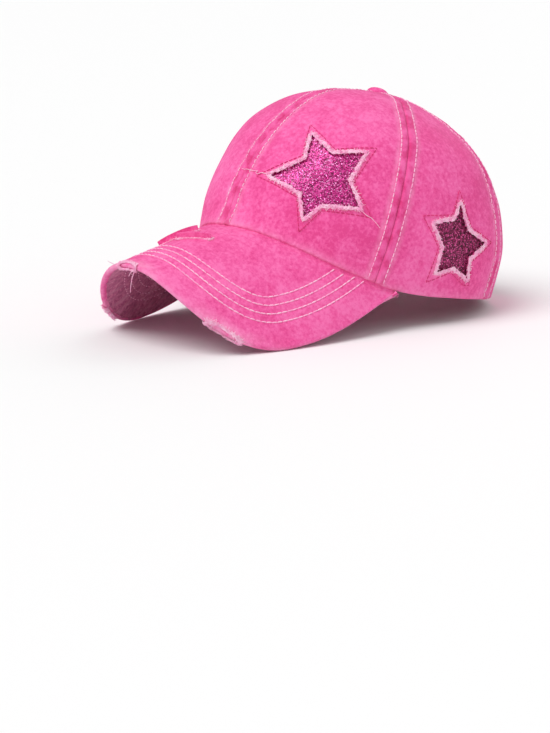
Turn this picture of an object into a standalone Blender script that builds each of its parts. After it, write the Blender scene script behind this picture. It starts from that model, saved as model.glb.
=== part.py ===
"""Ponytail baseball cap: six washed cotton panels, an arched peak, and a strapped, bound back opening.

Metres, +Z up. The peak points to -Y and the wearer's left side, which carries the stars, is +X.
The pieces are modelled upright, with the rim's plane at z = 0 and the button over its middle.
The whole cap is then leaned back until it rests on the peak's two low sides and on the back rim.
"""

import math
from collections import namedtuple

import bmesh
import bpy
import numpy as np
from mathutils import Matrix, Vector

# Crown, on its outer surface
CROWN_HEIGHT = 0.1255
CROWN_FRONT = 0.125
CROWN_BACK = 0.083
CROWN_HALF_WIDTH = 0.0915
BUTTON_BACK = -0.0023
TOP_FALL = 0.23
FRONT_FLARE = 0.0018
FLARE_RISE = 0.12

# Sections of the crown from the rim to the button, as shares of the sizes above
Section = namedtuple("Section", "height front side back taper")
SECTIONS = (
    Section(height=0.000, front=1.000, side=1.000, back=1.000, taper=0.09),
    Section(height=0.259, front=0.932, side=1.048, back=1.072, taper=0.03),
    Section(height=0.500, front=0.812, side=0.998, back=0.976, taper=-0.03),
    Section(height=0.707, front=0.657, side=0.875, back=0.790, taper=-0.09),
    Section(height=0.866, front=0.443, side=0.628, back=0.584, taper=-0.16),
    Section(height=0.966, front=0.180, side=0.344, back=0.321, taper=-0.22),
    Section(height=1.000, front=0.000, side=0.000, back=0.000, taper=-0.28),
)

# Cloth, and the spaces between its layers
PANEL_CLOTH = 0.0012
TAPE_CLOTH = 0.0010
BAND_CLOTH = 0.0012
BINDING_CLOTH = 0.0010
GAP = 0.0003
LAYER_GAP = 0.0006
BAND_END_SPACE = 0.0015
STRAP_LAP_SPACE = 0.0010
CUTTER_REACH = 0.014

# Seams, as angles from the front centre
SIDE_FRONT_SEAM = math.radians(59.0)
SIDE_BACK_SEAM = math.radians(110.5)
TAPE_WIDTH = 0.009
TAPE_START_RISE = 0.012
TAPE_END_RADIUS = 0.0125

# Peak
PEAK_LENGTH = 0.0708
PEAK_HALF_WIDTH = 0.0808
PEAK_CORNER_POWER = 2.44
PEAK_PITCH = math.radians(34.25)
PEAK_RISE = 0.0334
PEAK_END_HEIGHT = 0.004
PEAK_LIFT = 0.0199
PEAK_ARCH_POWER = 2.16
PEAK_WRAP = 0.005
PEAK_UPPER = 0.0018
PEAK_LOWER = 0.0011
PEAK_GAP = 0.0005
PEAK_END_SHARE = 0.985
PEAK_SEAM_SHARE = 0.006
PEAK_BLEND_BEFORE = math.radians(12.0)
PEAK_BLEND_AFTER = math.radians(13.0)

# Back opening under the panels, with the strap across it
ARCH_HALF_WIDTH = 0.0405
ARCH_SPRING = 0.020
ARCH_HEIGHT = 0.0403
ARCH_POWER = 2.35
BINDING_WIDTH = 0.0088
STRAP_WIDTH = 0.022
STRAP_CLOTH = 0.0014
STRAP_TUCK = 0.0080
STRAP_END_SPACE = 0.0025
STRAP_STEP = 0.0080
INNER_STRAP_LIFT = 0.0022
INNER_STRAP_SHARE = 0.70

# Ponytail opening, a teardrop that stands on the arch's binding
TEAR_HALF_WIDTH = 0.019
TEAR_HEIGHT = 0.0612
TEAR_WIDEST = 0.64
TEAR_TIP_TUCK = 0.0015
TEAR_TIP_POWER = 1.2

# Stars cut through the cloth, with a glitter patch behind each
Star = namedtuple("Star", "name panel angle rise radius turn")
FRONT_STAR_RADIUS = 0.0320
SIDE_STAR_RADIUS = 0.0262
NOTCH_SHARE = 0.53
STAR_TIPS = 5
PATCH_MARGIN = 0.007
PATCH_COVER = 1.15
PATCH_LOWEST_RISE = 0.012
FRONT_STAR_TURN = math.radians(183.0)
SIDE_STAR_TURN = math.radians(7.0)
FRONT_STAR_ANGLE = math.radians(30.3)
SIDE_STAR_ANGLE = math.radians(83.3)
FRONT_STAR_RISE = 0.262
SIDE_STAR_RISE = 0.184
STARS = (
    Star(
        name="front_star_patch",
        panel="front_panel_left",
        angle=FRONT_STAR_ANGLE,
        rise=FRONT_STAR_RISE,
        radius=FRONT_STAR_RADIUS,
        turn=FRONT_STAR_TURN,
    ),
    Star(
        name="side_star_patch",
        panel="side_panel_left",
        angle=SIDE_STAR_ANGLE,
        rise=SIDE_STAR_RISE,
        radius=SIDE_STAR_RADIUS,
        turn=SIDE_STAR_TURN,
    ),
)

# Sweatband and button
BAND_HEIGHT = 0.030
BAND_LIFT = 0.0010
BUTTON_RADIUS = 0.0078
BUTTON_HEIGHT = 0.0050
STEM_RADIUS = 0.0022
BUTTON_ROUNDNESS = 0.8
BUTTON_STATIONS = 5
BUTTON_BACK_RADIUS = 0.0085
BUTTON_BACK_THICKNESS = 0.0014
TOP_BEND_SHARE = 2.2

# Faces across and up each piece of cloth, and along the edges of the openings
FRONT_PANEL_GRID = (10, 15)
SIDE_PANEL_GRID = (8, 15)
BACK_PANEL_GRID = (14, 22)
PATCH_GRID = (8, 8)
TAPE_GRID = (2, 14)
BACK_TAPE_GRID = (2, 3)
BAND_GRID = (46, 3)
OUTER_STRAP_GRID = (24, 2)
INNER_STRAP_GRID = (20, 2)
PEAK_GRID = (30, 7)
ARCH_STATIONS = 22
ARCH_LEG_STATIONS = 4
TEAR_STATIONS = 14
TURNED_STEPS = 18

# Small steps, in radians or shares, over which a surface's slope is measured
SLOPE_STEP = 0.002
FINE_STEP = 0.001
STAR_STEP = 0.01
PATCH_STEP = 0.1

# Finish of each material: colour, roughness, metallic
FINISHES = {
    "pink_cotton": ((0.83, 0.10, 0.36, 1.0), 0.85, 0.0),
    "pink_binding": ((0.86, 0.13, 0.40, 1.0), 0.85, 0.0),
    "strap_cotton": ((0.62, 0.10, 0.28, 1.0), 0.90, 0.0),
    "inside_cotton": ((0.40, 0.04, 0.16, 1.0), 0.90, 0.0),
    "glitter_cloth": ((0.42, 0.01, 0.20, 1.0), 0.35, 0.6),
}


def clear_scene():
    """Empties the scene and makes the collections for the cap and for its cutters."""
    for obj in list(bpy.data.objects):
        bpy.data.objects.remove(obj, do_unlink=True)
    made = []
    for name in ("ponytail_cap", "cutters"):
        collection = bpy.data.collections.new(name)
        bpy.context.scene.collection.children.link(collection)
        made.append(collection)
    return made


def make_materials():
    """One Principled material for each finish."""
    made = {}
    for name, (colour, roughness, metallic) in FINISHES.items():
        material = bpy.data.materials.new(name)
        material.use_nodes = True
        shader = material.node_tree.nodes["Principled BSDF"]
        shader.inputs["Base Color"].default_value = colour
        shader.inputs["Roughness"].default_value = roughness
        shader.inputs["Metallic"].default_value = metallic
        made[name] = material
    return made


def smooth_step(value):
    """0 below 0, 1 above 1, and a soft S between."""
    value = min(max(value, 0.0), 1.0)
    return value * value * (3.0 - 2.0 * value)


def bisect(rises, low, high):
    """The value between low and high where the rising function passes zero."""
    for _ in range(40):
        middle = 0.5 * (low + high)
        if rises(middle) < 0.0:
            low = middle
        else:
            high = middle
    return 0.5 * (low + high)


def section_at(rise):
    """The crown's section at a rise from 0 at the rim to 1 at the button, on a smooth curve."""
    rows = [np.array(row) for row in SECTIONS]
    before = 2.0 * rows[0] - rows[1]
    beyond = -rows[-2]
    beyond[0] = rows[-2][0]
    beyond[4] = 2.0 * rows[-1][4] - rows[-2][4]
    rows = [before, *rows, beyond]
    place = min(max(rise, 0.0), 1.0) * (len(SECTIONS) - 1)
    index = min(int(place), len(SECTIONS) - 2)
    part = place - index
    a, b, c, d = rows[index : index + 4]
    bend = (2.0 * a - 5.0 * b + 4.0 * c - d) * part + (3.0 * b - a - 3.0 * c + d) * part * part
    return Section(*(b + 0.5 * part * (c - a + bend)))


def rim_plan(angle):
    """The rim's x and y at an angle, without its flare."""
    forward = max(math.cos(angle), 0.0)
    x = CROWN_HALF_WIDTH * math.sin(angle) * (1.0 - SECTIONS[0].taper * forward)
    reach = CROWN_FRONT if forward > 0.0 else CROWN_BACK
    return x, -reach * math.cos(angle)


def flare(angle, rise):
    """How far the front of the rim is drawn forward by the peak."""
    forward = max(math.cos(angle), 0.0)
    return FRONT_FLARE * max(1.0 - rise / FLARE_RISE, 0.0) ** 2 * forward**4


# The angle where the rim is as wide as the peak, which ends there
PEAK_END = bisect(lambda angle: rim_plan(angle)[0] - PEAK_HALF_WIDTH, math.radians(30.0), math.radians(90.0))
PEAK_END_Y = rim_plan(PEAK_END)[1]
# The fall of the peak's arch from its middle to its sides, which meets the rim at both ends
PEAK_DROP = PEAK_RISE + math.tan(PEAK_PITCH) * (PEAK_END_Y + CROWN_FRONT) - PEAK_END_HEIGHT


def peak_height(x, y):
    """Height of the peak's upper surface over a point of its plan."""
    ahead = max(-CROWN_FRONT - y, 0.0)
    height = PEAK_RISE + math.tan(PEAK_PITCH) * (y + CROWN_FRONT)
    height += PEAK_LIFT * (ahead / PEAK_LENGTH) ** 2
    drop = PEAK_DROP + PEAK_WRAP * ahead / PEAK_LENGTH
    return height - drop * (abs(x) / PEAK_HALF_WIDTH) ** PEAK_ARCH_POWER


def rim_height(angle):
    """Height of the rim, which follows the peak in front and is level round the back."""
    turned = abs(math.remainder(angle, 2.0 * math.pi))
    blend = smooth_step((PEAK_END + PEAK_BLEND_AFTER - turned) / (PEAK_BLEND_BEFORE + PEAK_BLEND_AFTER))
    if blend == 0.0:
        return 0.0
    x, y = rim_plan(angle)
    return blend * peak_height(x, y - flare(angle, 0.0))


def crown_surface(angle, rise):
    """Point on the crown's outer surface, at an angle from the front centre towards +X."""
    section = section_at(rise)
    forward = max(math.cos(angle), 0.0)
    reach = CROWN_FRONT * section.front if forward > 0.0 else CROWN_BACK * section.back
    middle = BUTTON_BACK * section.height
    x = CROWN_HALF_WIDTH * section.side * math.sin(angle) * (1.0 - section.taper * forward)
    y = middle - reach * math.cos(angle)
    z = CROWN_HEIGHT * section.height + rim_height(angle) * (1.0 - rise) ** 1.5
    z -= TOP_FALL * (y - middle) * rise**2
    return Vector((x, y - flare(angle, rise), z))


def crown_normal(angle, rise):
    """Outward normal of the crown's surface."""
    low, high = max(rise - SLOPE_STEP, 0.0), min(rise + SLOPE_STEP, 0.995)
    up = crown_surface(angle, high) - crown_surface(angle, low)
    round_it = crown_surface(angle + SLOPE_STEP, rise) - crown_surface(angle - SLOPE_STEP, rise)
    return round_it.cross(up).normalized()


def crown_point(angle, rise, depth=0.0):
    """Point at a depth below the crown's outer surface."""
    return crown_surface(angle, rise) - depth * crown_normal(angle, rise)


def angle_step(angle, rise, width):
    """The angle that a width along the crown's surface takes."""
    chord = (crown_surface(angle + FINE_STEP, rise) - crown_surface(angle - FINE_STEP, rise)).length
    return width * 2.0 * FINE_STEP / chord


def rise_at_radius(angle, radius):
    """The rise where the crown is that far from the button's axis."""
    top = crown_surface(0.0, 1.0)

    def inside(rise):
        reached = crown_surface(angle, rise) - top
        return radius - math.hypot(reached.x, reached.y)

    return bisect(inside, 0.6, 1.0)


def back_place(x, z):
    """The angle and rise of the point on the crown's back with this x and height."""

    def angle_for(rise):
        share = x / (CROWN_HALF_WIDTH * section_at(rise).side)
        return math.pi - math.asin(min(max(share, -1.0), 1.0))

    rise = bisect(lambda r: crown_surface(angle_for(r), r).z - z, 0.0, 0.95)
    return angle_for(rise), rise


TEAR_FOOT = ARCH_HEIGHT + BINDING_WIDTH - TEAR_TIP_TUCK
TEAR_TOP = TEAR_FOOT + TEAR_HEIGHT
TEAR_WAIST = TEAR_FOOT + TEAR_WIDEST * TEAR_HEIGHT


def arch_outline():
    """Points x, z along the back opening's edge, from the rim on the +X side to the rim on the -X side."""
    side = [(ARCH_HALF_WIDTH, ARCH_SPRING * i / ARCH_LEG_STATIONS) for i in range(ARCH_LEG_STATIONS)]
    bow = []
    for i in range(ARCH_STATIONS + 1):
        turn = math.pi * i / ARCH_STATIONS
        across = math.copysign(abs(math.cos(turn)) ** (2.0 / ARCH_POWER), math.cos(turn))
        up = math.sin(turn) ** (2.0 / ARCH_POWER) if 0 < i < ARCH_STATIONS else 0.0
        bow.append((ARCH_HALF_WIDTH * across, ARCH_SPRING + (ARCH_HEIGHT - ARCH_SPRING) * up))
    return side + bow + [(-x, z) for x, z in reversed(side)]


def tear_outline():
    """Points x, z round the ponytail opening's edge, from its foot up the +X side and down the other."""
    side = []
    for i in range(1, TEAR_STATIONS):
        share = i / TEAR_STATIONS
        x = TEAR_HALF_WIDTH * math.sin(0.5 * math.pi * share) ** TEAR_TIP_POWER
        side.append((x, TEAR_FOOT + (TEAR_WAIST - TEAR_FOOT) * share))
    top = []
    for i in range(TEAR_STATIONS + 1):
        turn = math.pi * i / TEAR_STATIONS
        top.append((TEAR_HALF_WIDTH * math.cos(turn), TEAR_WAIST + (TEAR_TOP - TEAR_WAIST) * math.sin(turn)))
    return side + top + [(-x, z) for x, z in reversed(side)]


def grown(outline, margin):
    """An outline moved away from its opening by a margin."""
    moved = []
    for i, (x, z) in enumerate(outline):
        ahead = outline[min(i + 1, len(outline) - 1)]
        behind = outline[max(i - 1, 0)]
        along = Vector((ahead[0] - behind[0], ahead[1] - behind[1])).normalized()
        moved.append((x + along.y * margin, z - along.x * margin))
    return moved


def new_object(name, mesh_source, material, collection):
    """An object from a bmesh, smooth on its broad faces."""
    mesh = bpy.data.meshes.new(name)
    mesh_source.to_mesh(mesh)
    mesh_source.free()
    mesh.shade_smooth()
    mesh.set_sharp_from_angle(angle=math.radians(40.0))
    obj = bpy.data.objects.new(name, mesh)
    collection.objects.link(obj)
    if material is not None:
        mesh.materials.append(material)
    return obj


def cloth_shell(name, surface, grid, thickness, material, collection, flip=False):
    """A wall of cloth: a grid laid on surface(u, v), whose outer face it is, thickened inwards."""
    cloth = bmesh.new()
    bmesh.ops.create_grid(cloth, x_segments=grid[0], y_segments=grid[1], size=0.5)
    for vertex in cloth.verts:
        vertex.co = surface(vertex.co.x + 0.5, vertex.co.y + 0.5)
    if flip:
        bmesh.ops.reverse_faces(cloth, faces=cloth.faces[:])
    obj = new_object(name, cloth, material, collection)
    solid = obj.modifiers.new("cloth", "SOLIDIFY")
    solid.thickness = thickness
    solid.offset = -1.0
    solid.use_even_offset = True
    return obj


def swept_solid(name, rings, material, collection):
    """A closed solid through a row of rings of points, capped at both ends."""
    body = bmesh.new()
    edges = []
    for ring in rings:
        corners = [body.verts.new(point) for point in ring]
        edges += [body.edges.new((a, b)) for a, b in zip(corners, corners[1:] + corners[:1])]
        if ring is rings[0] or ring is rings[-1]:
            body.faces.new(corners)
    count = len(rings[0])
    for i in range(len(rings) - 1):
        bmesh.ops.bridge_loops(body, edges=edges[i * count : (i + 2) * count])
    bmesh.ops.recalc_face_normals(body, faces=body.faces[:])
    return new_object(name, body, material, collection)


def panel_point(low, high, u, v):
    """Point of the panel between two seams, from its rim up to the button's stem."""
    top = rise_at_radius(0.5 * (low + high), STEM_RADIUS + 2.0 * GAP)
    rise = top * v
    space = angle_step(0.5 * (low + high), rise, 0.5 * GAP)
    return crown_surface(low + space + (high - low - 2.0 * space) * u, rise)


def arch_skirt(outline):
    """An outline of the back opening whose ends reach below the rim."""
    (first_x, _), *middle, (last_x, _) = outline
    return [(first_x, -ARCH_SPRING), *middle, (last_x, -ARCH_SPRING)]


def opening_cutter(name, outline, cutters):
    """A cutter through the back of the crown, square to the cloth all round."""
    rings = []
    for depth in (-CUTTER_REACH, CUTTER_REACH):
        ring = []
        for x, z in outline:
            below = min(z, 0.0)
            ring.append(crown_point(*back_place(x, z - below), depth) + Vector((0.0, 0.0, below)))
        rings.append(ring)
    return hide_cutter(swept_solid(name, rings, None, cutters))


def make_panels(cap, cutters, material):
    """The crown's six panels, each a wall of cloth between two seams, with the back openings cut out."""
    panels = {
        "front_panel": (0.0, SIDE_FRONT_SEAM, FRONT_PANEL_GRID),
        "side_panel": (SIDE_FRONT_SEAM, SIDE_BACK_SEAM, SIDE_PANEL_GRID),
        "back_panel": (SIDE_BACK_SEAM, math.pi, BACK_PANEL_GRID),
    }
    margin = BINDING_CLOTH + LAYER_GAP
    openings = [
        opening_cutter("arch_cutter", arch_skirt(grown(arch_outline(), margin)), cutters),
        opening_cutter("tear_cutter", grown(tear_outline(), margin), cutters),
    ]
    for kind, (low, high, grid) in panels.items():
        for side, sign in (("left", 1.0), ("right", -1.0)):

            def surface(u, v, edges=sorted((sign * low, sign * high))):
                return panel_point(*edges, u, v)

            panel = cloth_shell(f"{kind}_{side}", surface, grid, PANEL_CLOTH, material, cap)
            if kind == "back_panel":
                for cutter in openings:
                    add_boolean(panel, cutter, "DIFFERENCE")


def make_tapes(cap, material):
    """A tape over the inside of each seam, from the rim to the button."""
    depth = PANEL_CLOTH + LAYER_GAP
    seams = {
        "seam_tape_front": 0.0,
        "seam_tape_side_front_left": SIDE_FRONT_SEAM,
        "seam_tape_side_front_right": -SIDE_FRONT_SEAM,
        "seam_tape_side_back_left": SIDE_BACK_SEAM,
        "seam_tape_side_back_right": -SIDE_BACK_SEAM,
        "seam_tape_back": math.pi,
    }
    binding_top = TEAR_TOP + BINDING_WIDTH
    for name, angle in seams.items():
        top = rise_at_radius(angle, TAPE_END_RADIUS)
        bottom, grid = TAPE_START_RISE, TAPE_GRID
        if angle == math.pi:
            bottom = bisect(lambda r: crown_surface(math.pi, r).z - binding_top, 0.0, 0.95)
            grid = BACK_TAPE_GRID

        def tape(u, v, angle=angle, top=top, bottom=bottom):
            rise = bottom + (top - bottom) * v
            return crown_point(angle + angle_step(angle, rise, TAPE_WIDTH) * (u - 0.5), rise, depth)

        cloth_shell(name, tape, grid, TAPE_CLOTH, material, cap)


def make_sweatband(cap, material):
    """The band inside the rim, open across the back opening."""
    end_x = ARCH_HALF_WIDTH + BINDING_WIDTH + BAND_END_SPACE
    end = back_place(end_x, 0.5 * BAND_HEIGHT)[0]
    depth = PANEL_CLOTH + 2.0 * LAYER_GAP + TAPE_CLOTH

    def band(u, v):
        angle = end * (2.0 * u - 1.0)
        lift = (BAND_LIFT + BAND_HEIGHT * v) / CROWN_HEIGHT
        rise = bisect(lambda r: section_at(r).height - lift, 0.0, 0.6)
        return crown_point(angle, rise, depth)

    cloth_shell("sweatband", band, BAND_GRID, BAND_CLOTH, material, cap)


def star_cutter(star, margin, cutters):
    """A star-shaped prism across the cloth, a named margin larger than the star."""
    centre = crown_surface(star.angle, star.rise)
    out = crown_normal(star.angle, star.rise)
    right, left = (crown_surface(star.angle + turn, star.rise) for turn in (STAR_STEP, -STAR_STEP))
    level = right - left
    level = (level - level.dot(out) * out).normalized()
    up = out.cross(level)
    prism = bmesh.new()
    bmesh.ops.create_circle(prism, cap_ends=True, segments=2 * STAR_TIPS, radius=1.0)
    for i, vertex in enumerate(prism.verts):
        turn = star.turn + math.pi * i / STAR_TIPS
        reach = star.radius * (NOTCH_SHARE if i % 2 else 1.0) + margin
        flat = level * math.sin(turn) + up * math.cos(turn)
        vertex.co = centre + reach * flat - CUTTER_REACH * out
    raised = bmesh.ops.extrude_face_region(prism, geom=prism.faces[:])
    moved = [item for item in raised["geom"] if isinstance(item, bmesh.types.BMVert)]
    bmesh.ops.translate(prism, verts=moved, vec=out * 2.0 * CUTTER_REACH)
    bmesh.ops.recalc_face_normals(prism, faces=prism.faces[:])
    cutter = new_object(f"{star.name}_cutter_{round(margin * 1000)}", prism, None, cutters)
    return hide_cutter(cutter)


def hide_cutter(cutter):
    """Marks an object as a cutter, which is no part of the cap."""
    cutter.hide_render = True
    cutter.display_type = "WIRE"
    return cutter


def add_boolean(obj, cutter, operation):
    """Cuts or keeps what the cutter covers."""
    modifier = obj.modifiers.new(operation.lower(), "BOOLEAN")
    modifier.operation = operation
    modifier.object = cutter
    modifier.solver = "EXACT"


def make_stars(cap, cutters, material):
    """Cuts each star through its panel and lays a larger star of glitter cloth behind it."""
    depth = PANEL_CLOTH + LAYER_GAP
    for star in STARS:
        add_boolean(cap.objects[star.panel], star_cutter(star, 0.0, cutters), "DIFFERENCE")
        reach = PATCH_COVER * (star.radius + PATCH_MARGIN)
        wide = angle_step(star.angle, star.rise, reach)
        climb = crown_surface(star.angle, star.rise + PATCH_STEP) - crown_surface(star.angle, star.rise)
        tall = PATCH_STEP * reach / climb.length
        low, high = max(star.rise - tall, PATCH_LOWEST_RISE), star.rise + tall

        def patch(u, v, star=star, wide=wide, low=low, high=high):
            return crown_point(star.angle + wide * (2.0 * u - 1.0), low + (high - low) * v, depth)

        cloth = cloth_shell(star.name, patch, PATCH_GRID, TAPE_CLOTH, material, cap)
        add_boolean(cloth, star_cutter(star, PATCH_MARGIN, cutters), "INTERSECT")


def binding_rings(outline):
    """Sections of a folded binding along an opening's edge, open away from the opening."""
    outer = GAP + BINDING_CLOTH
    inner = PANEL_CLOTH + GAP
    section = (
        (0.0, outer),
        (BINDING_WIDTH, outer),
        (BINDING_WIDTH, GAP),
        (BINDING_CLOTH, GAP),
        (BINDING_CLOTH, -inner),
        (BINDING_WIDTH, -inner),
        (BINDING_WIDTH, -inner - BINDING_CLOTH),
        (0.0, -inner - BINDING_CLOTH),
    )
    places = [back_place(x, z) for x, z in outline]
    points = [crown_surface(*place) for place in places]
    rings = []
    for i, place in enumerate(places):
        along = points[min(i + 1, len(points) - 1)] - points[max(i - 1, 0)]
        away = crown_normal(*place).cross(along).normalized()
        ring = []
        for across, up in section:
            flat = points[i] + away * across
            ring.append(crown_point(*back_place(flat.x, max(flat.z, 0.0)), -up))
        rings.append(ring)
    return rings


def make_bindings(cap, cutters, material):
    """The folded tape round the back opening, and the one round the ponytail opening."""
    swept_solid("arch_binding", binding_rings(arch_outline()), material, cap)
    tear = swept_solid("ponytail_binding", binding_rings(tear_outline()), material, cap)
    skirt = arch_skirt(grown(arch_outline(), BINDING_WIDTH + 2.0 * GAP))
    add_boolean(tear, opening_cutter("binding_cutter", skirt, cutters), "DIFFERENCE")


def make_straps(cap, material):
    """The two straps that fasten over each other across the back opening."""
    deep = PANEL_CLOTH + 2.0 * GAP + BINDING_CLOTH
    shallow = deep - STRAP_CLOTH - GAP
    tucked = ARCH_HALF_WIDTH + STRAP_TUCK
    free_end = STRAP_END_SPACE - ARCH_HALF_WIDTH
    inner_end = ARCH_HALF_WIDTH * INNER_STRAP_SHARE

    def outer(u, v):
        x = free_end + (tucked - free_end) * u
        step = smooth_step((x - inner_end - STRAP_LAP_SPACE) / STRAP_STEP)
        return crown_point(*back_place(x, STRAP_WIDTH * v), shallow + (deep - shallow) * step)

    def inner(u, v):
        x = -tucked + (inner_end + tucked) * u
        return crown_point(*back_place(x, INNER_STRAP_LIFT + STRAP_WIDTH * v), deep)

    cloth_shell("strap_outer", outer, OUTER_STRAP_GRID, STRAP_CLOTH, material, cap, flip=True)
    cloth_shell("strap_inner", inner, INNER_STRAP_GRID, STRAP_CLOTH, material, cap, flip=True)


def turned_solid(name, profile, place, axis, material, collection):
    """A solid turned about an axis. The profile runs down its outer side, from the top of the axis."""
    points = bmesh.new()
    corners = [points.verts.new((radius, 0.0, height)) for radius, height in profile]
    for a, b in zip(corners, corners[1:]):
        points.edges.new((a, b))
    obj = new_object(name, points, material, collection)
    screw = obj.modifiers.new("turn", "SCREW")
    screw.axis = "Z"
    screw.steps = TURNED_STEPS
    screw.render_steps = TURNED_STEPS
    screw.use_merge_vertices = True
    screw.merge_threshold = 0.00001
    screw.use_smooth_shade = True
    obj.matrix_local = Matrix.Translation(place) @ axis.to_track_quat("Z", "Y").to_matrix().to_4x4()
    return obj


def make_button(cap, cotton, inside):
    """The covered button, whose stem goes through the crown, and the disc that holds it inside."""
    top = crown_surface(0.0, 1.0)
    axis = Vector((0.0, TOP_FALL, 1.0)).normalized()
    hollow = BUTTON_BACK_RADIUS**2 / (2.0 * CROWN_FRONT * SECTIONS[-2].front * TOP_BEND_SHARE)
    stem_foot = -PANEL_CLOTH - hollow - GAP
    profile = [(0.0, BUTTON_HEIGHT)]
    for i in range(1, BUTTON_STATIONS + 1):
        turn = 0.5 * math.pi * i / BUTTON_STATIONS
        radius = BUTTON_RADIUS * math.sin(turn) ** BUTTON_ROUNDNESS
        profile.append((radius, GAP + (BUTTON_HEIGHT - GAP) * math.cos(turn)))
    profile += [(STEM_RADIUS, GAP), (STEM_RADIUS, stem_foot), (0.0, stem_foot)]
    turned_solid("button", profile, top, axis, cotton, cap)
    face = stem_foot - GAP
    back = face - BUTTON_BACK_THICKNESS
    disc = [(0.0, face), (BUTTON_BACK_RADIUS, face), (BUTTON_BACK_RADIUS, back), (0.0, back)]
    turned_solid("button_back", disc, top, axis, inside, cap)


def peak_upper_point(u, v):
    """Point of the peak's upper face. Its board bends in straight lines from the rim to the free edge."""
    turn = PEAK_END_SHARE * (2.0 * u - 1.0)
    angle = PEAK_END * turn
    rim_x, rim_y = rim_plan(angle)
    rim = Vector((rim_x, rim_y - flare(angle, 0.0), rim_height(angle)))
    side = math.sin(0.5 * math.pi * turn)
    fore = max(math.cos(0.5 * math.pi * turn), 0.0)
    reach = PEAK_END_Y + CROWN_FRONT + FRONT_FLARE + PEAK_LENGTH
    edge_x = PEAK_HALF_WIDTH * math.copysign(abs(side) ** (2.0 / PEAK_CORNER_POWER), side)
    edge_y = PEAK_END_Y - reach * fore ** (2.0 / PEAK_CORNER_POWER)
    return rim.lerp(Vector((edge_x, edge_y, peak_height(edge_x, edge_y))), v)


def peak_surface(depth):
    """The peak's face at a depth below its upper face, from the rim to its free edge."""

    def surface(u, v):
        start = PEAK_SEAM_SHARE + (1.0 - PEAK_SEAM_SHARE) * v
        middle = min(start, 1.0 - FINE_STEP)
        left, right = max(u - FINE_STEP, 0.0), min(u + FINE_STEP, 1.0)
        across = peak_upper_point(right, middle) - peak_upper_point(left, middle)
        ahead = peak_upper_point(u, middle + FINE_STEP) - peak_upper_point(u, middle - FINE_STEP)
        return peak_upper_point(u, start) - depth * ahead.cross(across).normalized()

    return surface


def make_peak(cap, material, under_material):
    """The peak's covered upper board and the cloth under it."""
    cloth_shell("peak_upper", peak_surface(0.0), PEAK_GRID, PEAK_UPPER, material, cap, flip=True)
    depth = PEAK_UPPER + PEAK_GAP
    cloth_shell("peak_lower", peak_surface(depth), PEAK_GRID, PEAK_LOWER, under_material, cap, flip=True)


def rest_on_floor(cap, cutters):
    """Leans the cap back until its peak and its back rim both touch z = 0, with its box over the origin."""
    bpy.context.view_layer.update()
    graph = bpy.context.evaluated_depsgraph_get()
    points = []
    for obj in cap.objects:
        shape = obj.evaluated_get(graph)
        mesh = shape.to_mesh()
        points += [shape.matrix_world @ vertex.co for vertex in mesh.vertices]
        shape.to_mesh_clear()
    cloud = np.array(points)
    fore, aft = cloud[cloud[:, 1] < 0.0], cloud[cloud[:, 1] > 0.0]

    def lowest(part, lean):
        return (part[:, 2] * math.cos(lean) - part[:, 1] * math.sin(lean)).min()

    lean = bisect(lambda a: lowest(fore, a) - lowest(aft, a), 0.0, math.radians(40.0))
    across = cloud[:, 1] * math.cos(lean) + cloud[:, 2] * math.sin(lean)
    rest = bpy.data.objects.new("cap_rest", None)
    cap.objects.link(rest)
    rest.rotation_euler.x = -lean
    rest.location = (0.0, -0.5 * (across.min() + across.max()), -lowest(cloud, lean))
    for obj in (*cap.objects, *cutters.objects):
        if obj is not rest:
            obj.parent = rest


def build():
    """Makes the whole cap."""
    cap, cutters = clear_scene()
    finish = make_materials()
    make_panels(cap, cutters, finish["pink_cotton"])
    make_stars(cap, cutters, finish["glitter_cloth"])
    make_tapes(cap, finish["inside_cotton"])
    make_sweatband(cap, finish["inside_cotton"])
    make_bindings(cap, cutters, finish["pink_binding"])
    make_straps(cap, finish["strap_cotton"])
    make_button(cap, finish["pink_cotton"], finish["inside_cotton"])
    make_peak(cap, finish["pink_cotton"], finish["inside_cotton"])
    rest_on_floor(cap, cutters)


build()
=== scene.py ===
"""Looks of the ponytail cap: washed cotton panels, frayed stars over glitter cloth, topstitching and worn edges.

Metres, +Z up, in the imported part's frame. The cap's surfaces are the part's own functions of an angle from the
front centre and a rise from rim to button, worked out upright and then leaned back onto the floor.
"""

from __future__ import annotations

import logging
import math
import sys
from collections.abc import Callable, Sequence
from dataclasses import dataclass, field
from enum import Enum
from random import Random

import bmesh
import bpy
import numpy as np
from mathutils import Matrix, Vector, noise

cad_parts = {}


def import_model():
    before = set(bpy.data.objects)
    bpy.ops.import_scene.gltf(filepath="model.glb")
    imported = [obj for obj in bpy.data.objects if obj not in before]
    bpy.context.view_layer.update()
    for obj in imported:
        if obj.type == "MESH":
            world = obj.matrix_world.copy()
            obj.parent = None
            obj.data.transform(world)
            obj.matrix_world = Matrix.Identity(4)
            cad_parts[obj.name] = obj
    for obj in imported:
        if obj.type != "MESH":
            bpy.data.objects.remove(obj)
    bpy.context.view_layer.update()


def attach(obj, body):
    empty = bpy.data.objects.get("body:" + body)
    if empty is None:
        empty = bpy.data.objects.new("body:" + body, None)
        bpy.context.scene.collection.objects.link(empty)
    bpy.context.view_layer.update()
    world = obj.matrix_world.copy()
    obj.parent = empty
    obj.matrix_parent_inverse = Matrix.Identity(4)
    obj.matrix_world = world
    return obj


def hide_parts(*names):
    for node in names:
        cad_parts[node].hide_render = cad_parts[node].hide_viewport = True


Array = np.ndarray
Surface = Callable[[Array, Array], Array]
Colour = tuple[float, float, float]
Socket = bpy.types.NodeSocket

LOG = logging.getLogger("cap")
SLOPE_STEP = 0.002


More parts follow.
